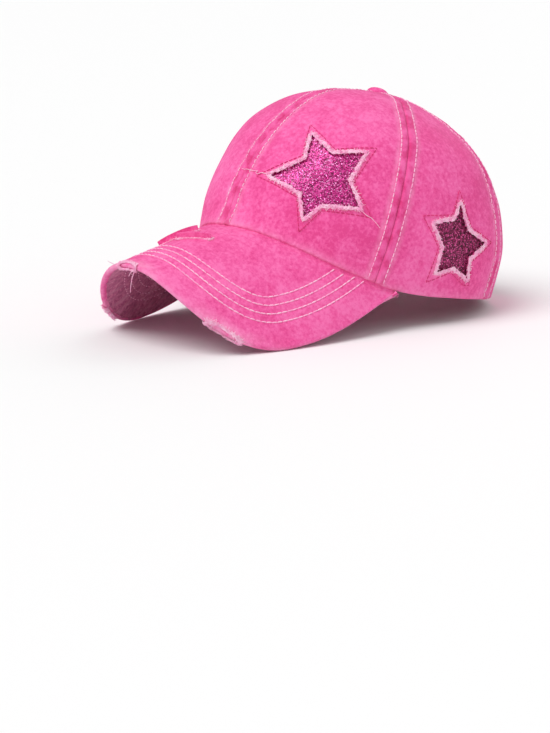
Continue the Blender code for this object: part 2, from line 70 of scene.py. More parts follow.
class Slot(Enum):
    """The record's material slots."""

    COTTON = "pink_cotton"
    BINDING = "pink_binding"
    STRAP = "strap_cotton"
    INSIDE = "inside_cotton"
    GLITTER = "glitter_cloth"


class Side(Enum):
    """The wearer's sides of the cap, with the sign of their x."""

    LEFT = 1.0
    RIGHT = -1.0


class Shade(Enum):
    """The two tones of the glitter cloth."""

    BRIGHT = "bright"
    WINE = "wine"


def srgb(red: float, green: float, blue: float) -> Colour:
    """A colour given in 0 to 255 as the eye's values, as linear light."""
    shares = (value / 255.0 for value in (red, green, blue))
    return tuple(s / 12.92 if s <= 0.04045 else ((s + 0.055) / 1.055) ** 2.4 for s in shares)


def unit(vectors: Array) -> Array:
    """The vectors at length 1."""
    return vectors / np.maximum(np.linalg.norm(vectors, axis=-1, keepdims=True), 1e-12)


def smooth(value: Array) -> Array:
    """0 below 0, 1 above 1 and a soft S between."""
    value = np.clip(value, 0.0, 1.0)
    return value * value * (3.0 - 2.0 * value)


def bump_at(value: Array, centre: float, width: float) -> Array:
    """A soft bump of height 1 round a centre."""
    return np.exp(-(((value - centre) / width) ** 2))


def waves(points: Array, size: float, seed: float) -> Array:
    """Smooth noise from about -1 to 1 at points, with the size of a wave in metres and a seed that moves it."""
    return np.array([noise.noise(Vector(p)) for p in points / size + seed])


def solve(rises: Callable[[Array], Array], low: Array, high: Array) -> Array:
    """Where rising functions, as one call on an array, pass zero between low and high."""
    for _ in range(36):
        middle = 0.5 * (low + high)
        under = rises(middle) < 0.0
        low, high = np.where(under, middle, low), np.where(under, high, middle)
    return 0.5 * (low + high)


def chase(place: Surface, target: Array, first: Array, second: Array) -> tuple[Array, Array]:
    """The two values for which a flat place is the target, by Newton's steps.

    Args:
        place: The flat place of each pair of values.
        target: Places to reach, n by 2.
        first: First values to start from.
        second: Second values to start from.

    Returns:
        The first and the second values.
    """
    for _ in range(8):
        gap = target - place(first, second)
        a = (place(first + 0.001, second) - place(first - 0.001, second)) / 0.002
        b = (place(first, second + 0.001) - place(first, second - 0.001)) / 0.002
        scale = a[:, 0] * b[:, 1] - a[:, 1] * b[:, 0]
        first = first + (gap[:, 0] * b[:, 1] - gap[:, 1] * b[:, 0]) / scale
        second = second + (a[:, 0] * gap[:, 1] - a[:, 1] * gap[:, 0]) / scale
    return first, second


def nearest(points: Array, line: Array) -> Array:
    """The distance from each point to the nearest of a line's points."""
    return np.concatenate([
        np.linalg.norm(part[:, None, :] - line[None, :, :], axis=2).min(axis=1)
        for part in np.array_split(points, max(len(points) // 800, 1))
    ])


def resample(line: Array, spacing: float) -> Array:
    """The same line with points that are evenly spaced."""
    steps = np.linalg.norm(np.diff(line, axis=0), axis=1)
    along = np.concatenate(([0.0], np.cumsum(steps)))
    places = np.linspace(0.0, along[-1], max(int(along[-1] / spacing), 2) + 1)
    return np.stack([np.interp(places, along, column) for column in line.T], axis=-1)


@dataclass
class CapForm:
    """The cap's surfaces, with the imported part's sizes in metres and radians."""

    crown_height: float = 0.1255
    crown_front: float = 0.125
    crown_back: float = 0.083
    half_width: float = 0.0915
    button_back: float = -0.0023
    top_fall: float = 0.23
    front_flare: float = 0.0018
    flare_rise: float = 0.12
    sections: tuple[tuple[float, ...], ...] = (
        (0.000, 1.000, 1.000, 1.000, 0.09),
        (0.259, 0.932, 1.048, 1.072, 0.03),
        (0.500, 0.812, 0.998, 0.976, -0.03),
        (0.707, 0.657, 0.875, 0.790, -0.09),
        (0.866, 0.443, 0.628, 0.584, -0.16),
        (0.966, 0.180, 0.344, 0.321, -0.22),
        (1.000, 0.000, 0.000, 0.000, -0.28),
    )
    seams: tuple[float, ...] = (-180.0, -110.5, -59.0, 0.0, 59.0, 110.5, 180.0)
    peak_length: float = 0.0708
    peak_half_width: float = 0.0808
    corner_power: float = 2.44
    peak_pitch: float = math.radians(34.25)
    peak_rise: float = 0.0334
    peak_end_height: float = 0.004
    peak_lift: float = 0.0199
    arch_power: float = 2.16
    peak_wrap: float = 0.005
    end_share: float = 0.985
    blend_before: float = math.radians(12.0)
    blend_after: float = math.radians(13.0)
    lean: float = math.radians(9.68628)
    rest_y: float = 0.04995
    rest_z: float = 0.01360

    def __post_init__(self) -> None:
        """Works out the rows of sections and where the peak ends."""
        rows = np.array(self.sections)
        before = 2.0 * rows[0] - rows[1]
        beyond = -rows[-2]
        beyond[0] = rows[-2][0]
        beyond[4] = 2.0 * rows[-1][4] - rows[-2][4]
        self.rows = np.vstack((before, rows, beyond))
        self.seam_angles = np.radians(self.seams)
        wide = lambda angle: self.rim_plan(angle)[0] - self.peak_half_width
        self.peak_end = float(solve(wide, np.radians(30.0), np.radians(90.0)))
        self.peak_end_y = float(self.rim_plan(self.peak_end)[1])
        fall = math.tan(self.peak_pitch) * (self.peak_end_y + self.crown_front)
        self.peak_drop = self.peak_rise + fall - self.peak_end_height

    def section(self, rise: Array) -> Array:
        """The crown's section at each rise, on a smooth curve through the rows."""
        place = np.clip(rise, 0.0, 1.0) * (len(self.sections) - 1)
        index = np.minimum(place.astype(int), len(self.sections) - 2)
        part = (place - index)[..., None]
        a, b, c, d = (self.rows[index + k] for k in range(4))
        bend = (2.0 * a - 5.0 * b + 4.0 * c - d) * part + (3.0 * b - a - 3.0 * c + d) * part**2
        return b + 0.5 * part * (c - a + bend)

    def rim_plan(self, angle: Array) -> tuple[Array, Array]:
        """The rim's x and y, without its flare."""
        forward = np.maximum(np.cos(angle), 0.0)
        reach = np.where(forward > 0.0, self.crown_front, self.crown_back)
        return self.half_width * np.sin(angle) * (1.0 - self.sections[0][4] * forward), -reach * np.cos(angle)

    def flare(self, angle: Array, rise: Array) -> Array:
        """How far the front of the rim is drawn forward."""
        forward = np.maximum(np.cos(angle), 0.0)
        return self.front_flare * np.maximum(1.0 - rise / self.flare_rise, 0.0) ** 2 * forward**4

    def peak_height(self, x: Array, y: Array) -> Array:
        """Height of the peak's upper face over its plan."""
        ahead = np.maximum(-self.crown_front - y, 0.0)
        height = self.peak_rise + math.tan(self.peak_pitch) * (y + self.crown_front)
        height = height + self.peak_lift * (ahead / self.peak_length) ** 2
        drop = self.peak_drop + self.peak_wrap * ahead / self.peak_length
        return height - drop * (np.abs(x) / self.peak_half_width) ** self.arch_power

    def rim_height(self, angle: Array) -> Array:
        """Height of the rim, which follows the peak in front."""
        turned = np.abs(np.mod(angle + np.pi, 2.0 * np.pi) - np.pi)
        share = (self.peak_end + self.blend_after - turned) / (self.blend_before + self.blend_after)
        x, y = self.rim_plan(angle)
        return smooth(share) * self.peak_height(x, y - self.flare(angle, 0.0))

    def crown(self, angle: Array, rise: Array) -> Array:
        """Points on the crown's outer face."""
        rise = np.asarray(rise, float)
        height, front, side, back, taper = np.moveaxis(self.section(rise), -1, 0)
        forward = np.maximum(np.cos(angle), 0.0)
        reach = np.where(forward > 0.0, self.crown_front * front, self.crown_back * back)
        middle = self.button_back * height
        x = self.half_width * side * np.sin(angle) * (1.0 - taper * forward)
        y = middle - reach * np.cos(angle)
        z = self.crown_height * height + self.rim_height(angle) * np.maximum(1.0 - rise, 0.0) ** 1.5
        z = z - self.top_fall * (y - middle) * rise**2
        return np.stack(np.broadcast_arrays(x, y - self.flare(angle, rise), z), axis=-1)

    def upward(self, angle: Array, rise: Array) -> Array:
        """Direction up the crown's outer face."""
        low, high = np.maximum(rise - SLOPE_STEP, 0.0), np.minimum(rise + SLOPE_STEP, 0.995)
        return unit(self.crown(angle, high) - self.crown(angle, low))

    def around(self, angle: Array, rise: Array) -> Array:
        """The way along the crown from a step before a place to a step past it."""
        return self.crown(angle + SLOPE_STEP, rise) - self.crown(angle - SLOPE_STEP, rise)

    def normal(self, angle: Array, rise: Array) -> Array:
        """Direction straight out of the crown."""
        return unit(np.cross(self.around(angle, rise), self.upward(angle, rise)))

    def girth(self, angle: Array, rise: Array) -> Array:
        """Metres along the crown for one radian."""
        return np.linalg.norm(self.around(angle, rise), axis=-1) / (2.0 * SLOPE_STEP)

    def off_crown(self, angle: Array, rise: Array, lift: Array) -> Array:
        """Points at a height above the crown's outer face, below it where lift is negative."""
        return self.crown(angle, rise) + self.normal(angle, rise) * np.asarray(lift)[..., None]

    def at_radius(self, angle: float, radius: float) -> float:
        """The rise where the crown is that far from the button's axis."""
        top = self.crown(0.0, 1.0)
        inside = lambda rise: radius - np.linalg.norm((self.crown(angle, rise) - top)[..., :2], axis=-1)
        return float(solve(inside, np.float64(0.6), np.float64(1.0)))

    def at_back(self, x: Array, z: Array) -> tuple[Array, Array]:
        """The angle and rise of the crown's back at a given x and height."""

        def angle_for(rise: Array) -> Array:
            share = x / (self.half_width * self.section(rise)[..., 2])
            return np.pi - np.arcsin(np.clip(share, -1.0, 1.0))

        x, z = np.broadcast_arrays(np.asarray(x, float), np.asarray(z, float))
        above = lambda rise: self.crown(angle_for(rise), rise)[..., 2] - z
        rise = solve(above, np.zeros(x.shape), np.full(x.shape, 0.95))
        return angle_for(rise), rise

    def touching(self, angle: float, rise: float) -> tuple[Array, Array, Array, Array]:
        """A place on the crown with the directions out of it, level along it and up it."""
        centre, out = self.crown(angle, rise), self.normal(angle, rise)
        level = self.crown(angle + 0.01, rise) - self.crown(angle - 0.01, rise)
        level = unit(level - level.dot(out) * out)
        return centre, out, level, np.cross(out, level)

    def beside(self, angle: float, rise: float, flat: Array) -> tuple[Array, Array]:
        """Where flat offsets from a place on the crown land on it.

        Args:
            angle: The place's angle.
            rise: The place's rise.
            flat: Offsets sideways and up in the plane that touches the crown there, n by 2.

        Returns:
            The angle and the rise of each.
        """
        centre, _, *plane = self.touching(angle, rise)
        plane = np.stack(plane, axis=1)
        start = np.full(len(flat), angle), np.full(len(flat), rise)
        angles, rises = chase(lambda a, r: (self.crown(a, r) - centre) @ plane, flat, *start)
        return angles, np.clip(rises, 0.004, 0.98)

    def peak_top(self, across: Array, fore: Array) -> Array:
        """Points on the peak's upper face, across from -1 to 1 and fore from the rim to the free edge."""
        turn = self.end_share * across
        angle = self.peak_end * turn
        x, y = self.rim_plan(angle)
        rim = np.stack((x, y - self.flare(angle, 0.0), self.rim_height(angle)), axis=-1)
        side, ahead = np.sin(0.5 * np.pi * turn), np.maximum(np.cos(0.5 * np.pi * turn), 0.0)
        reach = self.peak_end_y + self.crown_front + self.front_flare + self.peak_length
        x = self.peak_half_width * np.copysign(np.abs(side) ** (2.0 / self.corner_power), side)
        y = self.peak_end_y - reach * ahead ** (2.0 / self.corner_power)
        edge = np.stack((x, y, self.peak_height(x, y)), axis=-1)
        return rim + (edge - rim) * np.asarray(fore)[..., None]

    def peak_span(self, across: Array) -> Array:
        """Distance from the rim to the free edge."""
        edge, rim = self.peak_top(across, np.ones_like(across)), self.peak_top(across, np.zeros_like(across))
        return np.linalg.norm(edge - rim, axis=1)

    def peak_at(self, plan: Array) -> tuple[Array, Array]:
        """Across and fore of places on the peak that are given by x and y."""
        start = np.zeros(len(plan)), np.full(len(plan), 0.4)
        return chase(lambda across, fore: self.peak_top(across, fore)[:, :2], plan, *start)

    def peak_frame(self, across: Array, fore: Array) -> tuple[Array, Array, Array]:
        """The peak's points with the direction out of its upper face and the one towards its free edge."""
        middle = np.clip(fore, 0.001, 0.999)
        left, right = np.maximum(across - 0.002, -1.015), np.minimum(across + 0.002, 1.015)
        side = self.peak_top(right, middle) - self.peak_top(left, middle)
        ahead = unit(self.peak_top(across, middle + 0.001) - self.peak_top(across, middle - 0.001))
        return self.peak_top(across, fore), unit(np.cross(ahead, side)), ahead

    def stand(self, points: Array) -> Array:
        """Upright points where they are once the cap leans back on the floor."""
        c, s = math.cos(self.lean), math.sin(self.lean)
        x, y, z = np.moveaxis(np.asarray(points), -1, 0)
        return np.stack((x, y * c + z * s + self.rest_y, z * c - y * s + self.rest_z), axis=-1)


FORM = CapForm()


class Draft:
    """A material drawn up node by node."""

    def __init__(self, name: str) -> None:
        """Starts from one Principled shader."""
        self.material = bpy.data.materials.new(name)
        self.material.use_nodes = True
        self.tree = self.material.node_tree
        self.shader = self.tree.nodes["Principled BSDF"]

    def put(self, socket: Socket, value: Socket | float | Sequence[float]) -> None:
        """Links a socket, or sets its value."""
        if isinstance(value, Socket):
            self.tree.links.new(value, socket)
        else:
            socket.default_value = (*value, 1.0) if socket.type == "RGBA" and len(value) == 3 else value

    def add(
        self, kind: str, *values: Socket | float, options: dict[str, str] | None = None, **named: object
    ) -> Socket:
        """Adds a node.

        Args:
            kind: The node's type, without its ShaderNode.
            values: Values or links for its inputs in their order.
            options: The node's own settings.
            named: Values or links for inputs by name.

        Returns:
            The node's first output.
        """
        node = self.tree.nodes.new(f"ShaderNode{kind}")
        for key, value in (options or {}).items():
            setattr(node, key, value)
        for socket, value in zip(node.inputs, values):
            self.put(socket, value)
        for key, value in named.items():
            self.put(node.inputs[key.replace("_", " ")], value)
        return node.outputs[0]

    def shade(self, **named: Socket | float | Sequence[float]) -> bpy.types.Material:
        """Sets the shader's inputs by name and gives the material."""
        for key, value in named.items():
            self.put(self.shader.inputs[key.replace("_", " ")], value)
        return self.material

    def math(self, operation: str, *values: Socket | float) -> Socket:
        """A Math node."""
        return self.add("Math", *values, options={"operation": operation})

    def place(self, kind: str = "Object") -> Socket:
        """Texture coordinates of one kind."""
        return self.add("TexCoord").node.outputs[kind]

    def mark(self, name: str) -> Socket:
        """A mesh attribute's value."""
        return self.add("Attribute", options={"attribute_name": name}).node.outputs["Fac"]

    def noise(self, where: Socket, size: float, detail: float = 2.0, rough: float = 0.5) -> Socket:
        """Noise whose waves have a size in metres."""
        return self.add("TexNoise", Vector=where, Scale=0.6 / size, Detail=detail, Roughness=rough)

    def ramp(self, factor: Socket, *stops: tuple[float, Colour]) -> Socket:
        """Colours along a factor."""
        out = self.add("ValToRGB", factor)
        elements = out.node.color_ramp.elements
        for _ in stops[2:]:
            elements.new(0.5)
        for element, (place, colour) in zip(elements, stops):
            element.position = place
            element.color = (*colour, 1.0)
        return out

    def mix(self, factor: Socket | float, first: Socket | Colour, second: Socket | Colour) -> Socket:
        """Two colours mixed."""
        node = self.tree.nodes.new("ShaderNodeMix")
        node.data_type = "RGBA"
        for index, value in ((0, factor), (6, first), (7, second)):
            self.put(node.inputs[index], value)
        return node.outputs[2]

    def bump(self, height: Socket, distance: float, strength: float, before: Socket | None = None) -> Socket:
        """A bump on the surface, over an earlier one where given."""
        out = self.add("Bump", Height=height, Distance=distance, Strength=strength)
        if before is not None:
            self.put(out.node.inputs["Normal"], before)
        return out


@dataclass(frozen=True)
class WashedCotton:
    """Pink cotton, faded unevenly by washing, paler where it is worn and mottled along its seams.

    Each row of its mottling is a share, the size of a wave in metres, the detail and the roughness.
    """

    name: str
    deep: Colour
    middle: Colour
    pale: Colour
    frayed: Colour
    blotch: Colour = srgb(222, 58, 126)
    thread: float = 0.0007
    bump: float = 0.5
    roughness: float = 0.85
    sheen: float = 0.25
    mottling: tuple[tuple[float, ...], ...] = (
        (0.32, 0.030, 3.0, 0.5),
        (0.26, 0.0065, 4.0, 0.6),
        (0.42, 0.0014, 2.0, 0.7),
    )

    def make(self) -> bpy.types.Material:
        """Draws up the material."""
        draft = Draft(self.name)
        where, weave = draft.place(), draft.place("UV")
        tone: Socket | float = 0.0
        for share, *noise_kind in self.mottling:
            tone = draft.math("MULTIPLY_ADD", draft.noise(where, *noise_kind), share, tone)
        colour = draft.ramp(tone, (0.415, self.deep), (0.50, self.middle), (0.595, self.pale))
        patchy = draft.noise(where, 0.0042, 3.0, 0.6)
        seam = draft.ramp(patchy, (0.40, self.blotch), (0.52, self.middle), (0.68, self.pale))
        colour = draft.mix(draft.math("MULTIPLY", draft.mark("seam"), 0.7), colour, seam)
        rub = draft.math("MULTIPLY_ADD", patchy, 1.6, -0.35)
        rub = draft.math("MULTIPLY", draft.mark("worn"), rub)
        rub.node.use_clamp = True
        colour = draft.mix(rub, colour, self.frayed)
        twill = {"wave_type": "BANDS", "bands_direction": "DIAGONAL"}
        ribs = draft.add("TexWave", weave, Scale=0.63 / self.thread, Distortion=0.6, Detail=1.0, options=twill)
        ribs = ribs.node.outputs["Fac"]
        normal = draft.bump(ribs, 0.00012, self.bump)
        normal = draft.bump(draft.noise(where, 0.0016, 3.0, 0.65), 0.0004, self.bump, normal)
        look = {"Roughness": self.roughness, "Specular_IOR_Level": 0.2}
        sheen = {"Sheen_Weight": self.sheen, "Sheen_Roughness": 0.45, "Sheen_Tint": self.frayed}
        return draft.shade(Base_Color=colour, Normal=normal, **look, **sheen)


@dataclass(frozen=True)
class Thread:
    """Sewing thread or a frayed yarn, with its own slight changes of tone."""

    name: str
    dark: Colour
    light: Colour

    def make(self) -> bpy.types.Material:
        """Draws up the material."""
        draft = Draft(self.name)
        where = draft.place()
        colour = draft.ramp(draft.noise(where, 0.0025, 2.0, 0.6), (0.35, self.dark), (0.62, self.light))
        twist = draft.bump(draft.noise(where, 0.0003, 1.0), 0.0001, 0.5)
        return draft.shade(Base_Color=colour, Normal=twist, Roughness=0.7, Sheen_Weight=0.2)


@dataclass(frozen=True)
class Glitter:
    """Glitter cloth: packed flakes in a few magentas, some of which flash."""

    name: str
    dark: Colour
    middle: Colour
    light: Colour
    flake: float = 0.0008
    by_flake: bool = False

    def make(self) -> bpy.types.Material:
        """Draws up the material."""
        draft = Draft(self.name)
        if self.by_flake:
            tint = draft.mark("tint")
        else:
            cells = draft.add("TexVoronoi", Vector=draft.place(), Scale=1.0 / self.flake)
            tint = draft.add("SeparateColor", cells.node.outputs["Color"])
            draft.shade(Normal=draft.bump(tint, self.flake, 0.7))
        colour = draft.ramp(tint, (0.10, self.dark), (0.52, self.middle), (0.86, self.light))
        return draft.shade(Base_Color=colour, Metallic=0.35, Roughness=0.32)


@dataclass(frozen=True)
class Finishes:
    """Every finish of the cap, each made once."""

    cotton: WashedCotton = WashedCotton(
        "washed_pink_cotton", srgb(232, 74, 146), srgb(244, 94, 165), srgb(252, 119, 184), srgb(255, 176, 214)
    )
    binding: WashedCotton = WashedCotton(
        "binding_tape", srgb(228, 62, 134), srgb(247, 108, 174), srgb(252, 142, 197), srgb(255, 188, 220), bump=0.4
    )
    strap: WashedCotton = WashedCotton(
        "strap_tape", srgb(208, 88, 142), srgb(220, 106, 158), srgb(234, 134, 180), srgb(245, 175, 208), thread=0.0009
    )
    inside: WashedCotton = WashedCotton(
        "inside_cotton", srgb(150, 26, 82), srgb(188, 44, 112), srgb(220, 84, 146), srgb(240, 150, 190), sheen=0.1
    )
    # Painted shade: the cloth under the peak is a duller mauve pink, partly its own tone and partly the shade under
    # the peak painted in.
    under: WashedCotton = WashedCotton(
        "under_peak_cotton_painted_shade", srgb(178, 88, 128), srgb(206, 112, 152), srgb(228, 148, 182), srgb(246, 190, 214)
    )
    # Painted shade: the peak's core cloth is a deeper pink that stands for the shade seen through the cover's slits
    # and worn spots.
    board: WashedCotton = WashedCotton(
        "peak_core_cloth", srgb(176, 34, 104), srgb(214, 54, 132), srgb(236, 92, 160), srgb(245, 150, 196), sheen=0.1
    )
    topstitch: Thread = Thread("pale_topstitch", srgb(250, 158, 206), srgb(255, 202, 228))
    tone_stitch: Thread = Thread("deep_pink_stitch", srgb(198, 16, 98), srgb(226, 34, 122))
    fray: Thread = Thread("frayed_yarn", srgb(250, 158, 206), srgb(255, 206, 230))
    bright_glitter: Glitter = Glitter(
        "bright_glitter_cloth", srgb(110, 10, 68), srgb(196, 34, 128), srgb(240, 90, 176)
    )
    bright_flakes: Glitter = Glitter(
        "bright_glitter_flakes", srgb(144, 8, 92), srgb(242, 42, 164), srgb(255, 164, 226), by_flake=True
    )
    wine_glitter: Glitter = Glitter("wine_glitter_cloth", srgb(60, 6, 34), srgb(116, 20, 68), srgb(190, 56, 124))
    wine_flakes: Glitter = Glitter(
        "wine_glitter_flakes", srgb(84, 6, 46), srgb(168, 24, 96), srgb(250, 104, 178), by_flake=True
    )
    made: dict[str, bpy.types.Material] = field(default_factory=dict)

    def get(self, name: str) -> bpy.types.Material:
        """The material of a finish, made when first asked for."""
        if name not in self.made:
            self.made[name] = getattr(self, name).make()
        return self.made[name]


FINISHES = Finishes()


def link(name: str, data: bpy.types.ID) -> bpy.types.Object:
    """An object in the scene with a mesh, a curve, a light or a camera in it."""
    obj = bpy.data.objects.new(name, data)
    bpy.context.scene.collection.objects.link(obj)
    return obj


def as_mesh(obj: bpy.types.Object) -> bpy.types.Mesh:
    """What an object comes to, with its modifiers or its curve's thickness."""
    graph = bpy.context.evaluated_depsgraph_get()
    graph.update()
    return bpy.data.meshes.new_from_object(obj.evaluated_get(graph))


def settle(obj: bpy.types.Object) -> bpy.types.Object:
    """Makes a mesh object's modifiers part of its mesh."""
    old, obj.data = obj.data, as_mesh(obj)
    obj.modifiers.clear()
    obj.data.name = obj.name
    bpy.data.meshes.remove(old)
    return obj


def as_object(name: str, shape: bmesh.types.BMesh) -> bpy.types.Object:
    """An object from a bmesh, which is freed."""
    mesh = bpy.data.meshes.new(name)
    shape.to_mesh(mesh)
    shape.free()
    return link(name, mesh)


def dress(obj: bpy.types.Object, finish: str, slot: Slot | None = None, *nodes: str) -> bpy.types.Object:
    """Gives a finished piece its material, its body and the nodes that it stands for.

    Args:
        obj: The piece.
        finish: Name of its finish.
        slot: The record's slot for its finish; not used.
        nodes: Nodes of the part that it replaces.

    Returns:
        The piece.
    """
    obj.data.materials.clear()
    obj.data.materials.append(FINISHES.get(finish))
    obj.data.shade_smooth()
    obj.data.set_sharp_from_angle(angle=math.radians(55.0))
    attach(obj, "root")
    if nodes:
        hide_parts(*nodes)
    LOG.info("%s: %d faces", obj.name, len(obj.data.polygons))
    return obj


def lay_cloth(
    name: str,
    grid: tuple[int, int],
    place: Surface,
    size: tuple[float, float],
    thickness: float,
    marks: dict[str, Surface] | None = None,
    flip: bool = False,
) -> bpy.types.Object:
    """A wall of cloth on a surface, thickened inwards.

    Args:
        name: The object's name.
        grid: Faces across and up.
        place: The upright place of each share across and up.
        size: The cloth's size across and up, which scales its weave.
        thickness: The cloth's thickness.
        marks: Attributes of the cloth, as functions of the same shares.
        flip: Whether the faces are turned round.

    Returns:
        The object, where the cap rests.
    """
    cloth = bmesh.new()
    bmesh.ops.create_grid(cloth, x_segments=grid[0], y_segments=grid[1], size=0.5)
    cloth.verts.index_update()
    u, v = (np.array([vertex.co[k] for vertex in cloth.verts]) + 0.5 for k in (0, 1))
    for vertex, point in zip(cloth.verts, FORM.stand(place(u, v))):
        vertex.co = point
    for mark, values in (marks or {}).items():
        layer = cloth.verts.layers.float.new(mark)
        for vertex, value in zip(cloth.verts, values(u, v)):
            vertex[layer] = value
    weave = cloth.loops.layers.uv.new("weave")
    for face in cloth.faces:
        for loop in face.loops:
            loop[weave].uv = (u[loop.vert.index] * size[0], v[loop.vert.index] * size[1])
    if flip:
        bmesh.ops.reverse_faces(cloth, faces=cloth.faces[:])
    obj = as_object(name, cloth)
    solid = obj.modifiers.new("cloth", "SOLIDIFY")
    solid.thickness = thickness
    solid.offset = -1.0
    solid.use_even_offset = True
    return settle(obj)


def swept(name: str, rings: Array, closed: bool = False) -> bpy.types.Object:
    """A solid through rings of upright points, with both ends closed or joined to each other."""
    body = bmesh.new()
    edges = []
    for index, ring in enumerate(FORM.stand(rings)):
        corners = [body.verts.new(point) for point in ring]
        edges.append([body.edges.new(pair) for pair in zip(corners, corners[1:] + corners[:1])])
        if not closed and index in (0, len(rings) - 1):
            body.faces.new(corners)
    for near, far in zip(edges, edges[1:] + edges[:1] if closed else edges[1:]):
        bmesh.ops.bridge_loops(body, edges=near + far)
    bmesh.ops.recalc_face_normals(body, faces=body.faces[:])
    return as_object(name, body)


def cut(obj: bpy.types.Object, cutter: bpy.types.Object, keep: bool = False) -> bpy.types.Object:
    """Takes a cutter's room out of an object, or keeps only what is in it, and removes the cutter."""
    modifier = obj.modifiers.new("cut", "BOOLEAN")
    modifier.operation = "INTERSECT" if keep else "DIFFERENCE"
    modifier.object = cutter
    modifier.solver = "EXACT"
    settle(obj)
    bpy.data.objects.remove(cutter)
    return obj


@dataclass
class Threads:
    """Stitches, yarns and loose ends that are gathered and made one piece."""

    name: str
    sides: int = 0
    strands: list[tuple[Array, Array]] = field(default_factory=list)

    def add(self, points: Array, radii: Sequence[float]) -> None:
        """Adds one strand through upright points, with its radius at each."""
        self.strands.append((FORM.stand(points), np.asarray(radii, float)))

    def sew(
        self, line: Array, out: Array, stitch: float = 0.0027, pitch: float = 0.0034, radius: float = 0.00038
    ) -> None:
        """Sews a row of stitches.

        Args:
            line: The row's upright points.
            out: Direction out of the cloth at each point.
            stitch: Length of a stitch.
            pitch: Distance from one stitch to the next.
            radius: Radius of the thread.
        """
        steps = np.linalg.norm(np.diff(line, axis=0), axis=1)
        along = np.concatenate(([0.0], np.cumsum(steps)))
        chance = Random(len(self.strands) * 7 + 1)
        count = max(round(along[-1] / pitch), 1)
        pitch = along[-1] / count
        for index in range(count):
            start = (index + 0.5 * chance.uniform(0.93, 1.07)) * pitch - 0.5 * stitch
            places = start + stitch * np.array((0.0, 0.22, 0.78, 1.0))
            points = np.stack([np.interp(places, along, column) for column in line.T], axis=-1)
            rises = np.stack([np.interp(places, along, column) for column in out.T], axis=-1)
            points = points + rises * radius * np.array((-0.4, 0.75, 0.75, -0.4))[:, None]
            self.add(points, radius * np.array((0.65, 1.0, 1.0, 0.65)))

    def sew_on_crown(
        self, angle: Array, rise: Array, lift: Array | float, inside: bool = False, **thread: float
    ) -> None:
        """Sews a row at a height over the crown, facing inwards where asked."""
        out = FORM.normal(angle, rise)
        self.sew(FORM.off_crown(angle, rise, lift), -out if inside else out, **thread)

    def finish(self, name: str) -> None:
        """Makes the piece and gives it a finish."""
        dress(self.make(), name)

    def make(self) -> bpy.types.Object:
        """The strands as one mesh."""
        curve = bpy.data.curves.new(self.name, "CURVE")
        curve.dimensions = "3D"
        curve.bevel_depth = 0.001
        curve.bevel_resolution = self.sides
        curve.use_fill_caps = True
        for points, radii in self.strands:
            spline = curve.splines.new("POLY")
            spline.points.add(len(points) - 1)
            spline.points.foreach_set("co", np.c_[points, np.ones(len(points))].ravel())
            spline.points.foreach_set("radius", radii * 1000.0)
        source = link(self.name, curve)
        mesh = as_mesh(source)
        bpy.data.objects.remove(source)
        bpy.data.curves.remove(curve)
        mesh.name = self.name
        return link(self.name, mesh)


@dataclass(frozen=True)
class StarPlace:
    """A star-shaped opening cut by hand, laid out in a plane that touches the crown at its middle.

    Its corners are tips and notches in turn, clockwise, in millimetres across and up.
    """

    name: str
    panel: str
    angle: float
    rise: float
    corners: tuple[tuple[float, float], ...]
    lowest: float = 1.0

    @property
    def reach(self) -> float:
        """Distance from the middle to the farthest tip."""
        return 0.001 * max(math.hypot(*corner) for corner in self.corners)

    def outline(self, tip: float = 0.0, notch: float = 0.0, wobble: float = 0.0, spacing: float = 0.0009) -> Array:
        """Flat points round the star, the last beside the first.

        Args:
            tip: How far the tips stand out past the opening's.
            notch: How far the notches do.
            wobble: How uneven the line is.
            spacing: Distance between points.

        Returns:
            Offsets sideways and up, n by 2.
        """
        corners = 0.001 * np.array(self.corners)
        corners = corners + unit(corners) * np.where(np.arange(len(corners)) % 2, notch, tip)[:, None]
        line = resample(np.vstack((corners, corners[:1])), spacing)[:-1]
        ragged = waves(np.c_[line, np.full(len(line), self.rise)], 0.0022, 2.0)
        slow = waves(np.c_[line, np.full(len(line), self.rise)], 0.009, 8.0)
        free = wobble * smooth(nearest(line, corners) / 0.004)
        return line + self.outward(line) * ((ragged + 1.2 * slow) * free)[:, None]

    def spots(self, flat: Array) -> tuple[Array, Array]:
        """The angle and rise of flat offsets from the star's middle."""
        return FORM.beside(self.angle, self.rise, flat)

    @staticmethod
    def outward(line: Array) -> Array:
        """Direction away from the star at each point of its outline."""
        along = unit(np.roll(line, -1, axis=0) - np.roll(line, 1, axis=0))
        return np.stack((-along[:, 1], along[:, 0]), axis=-1)


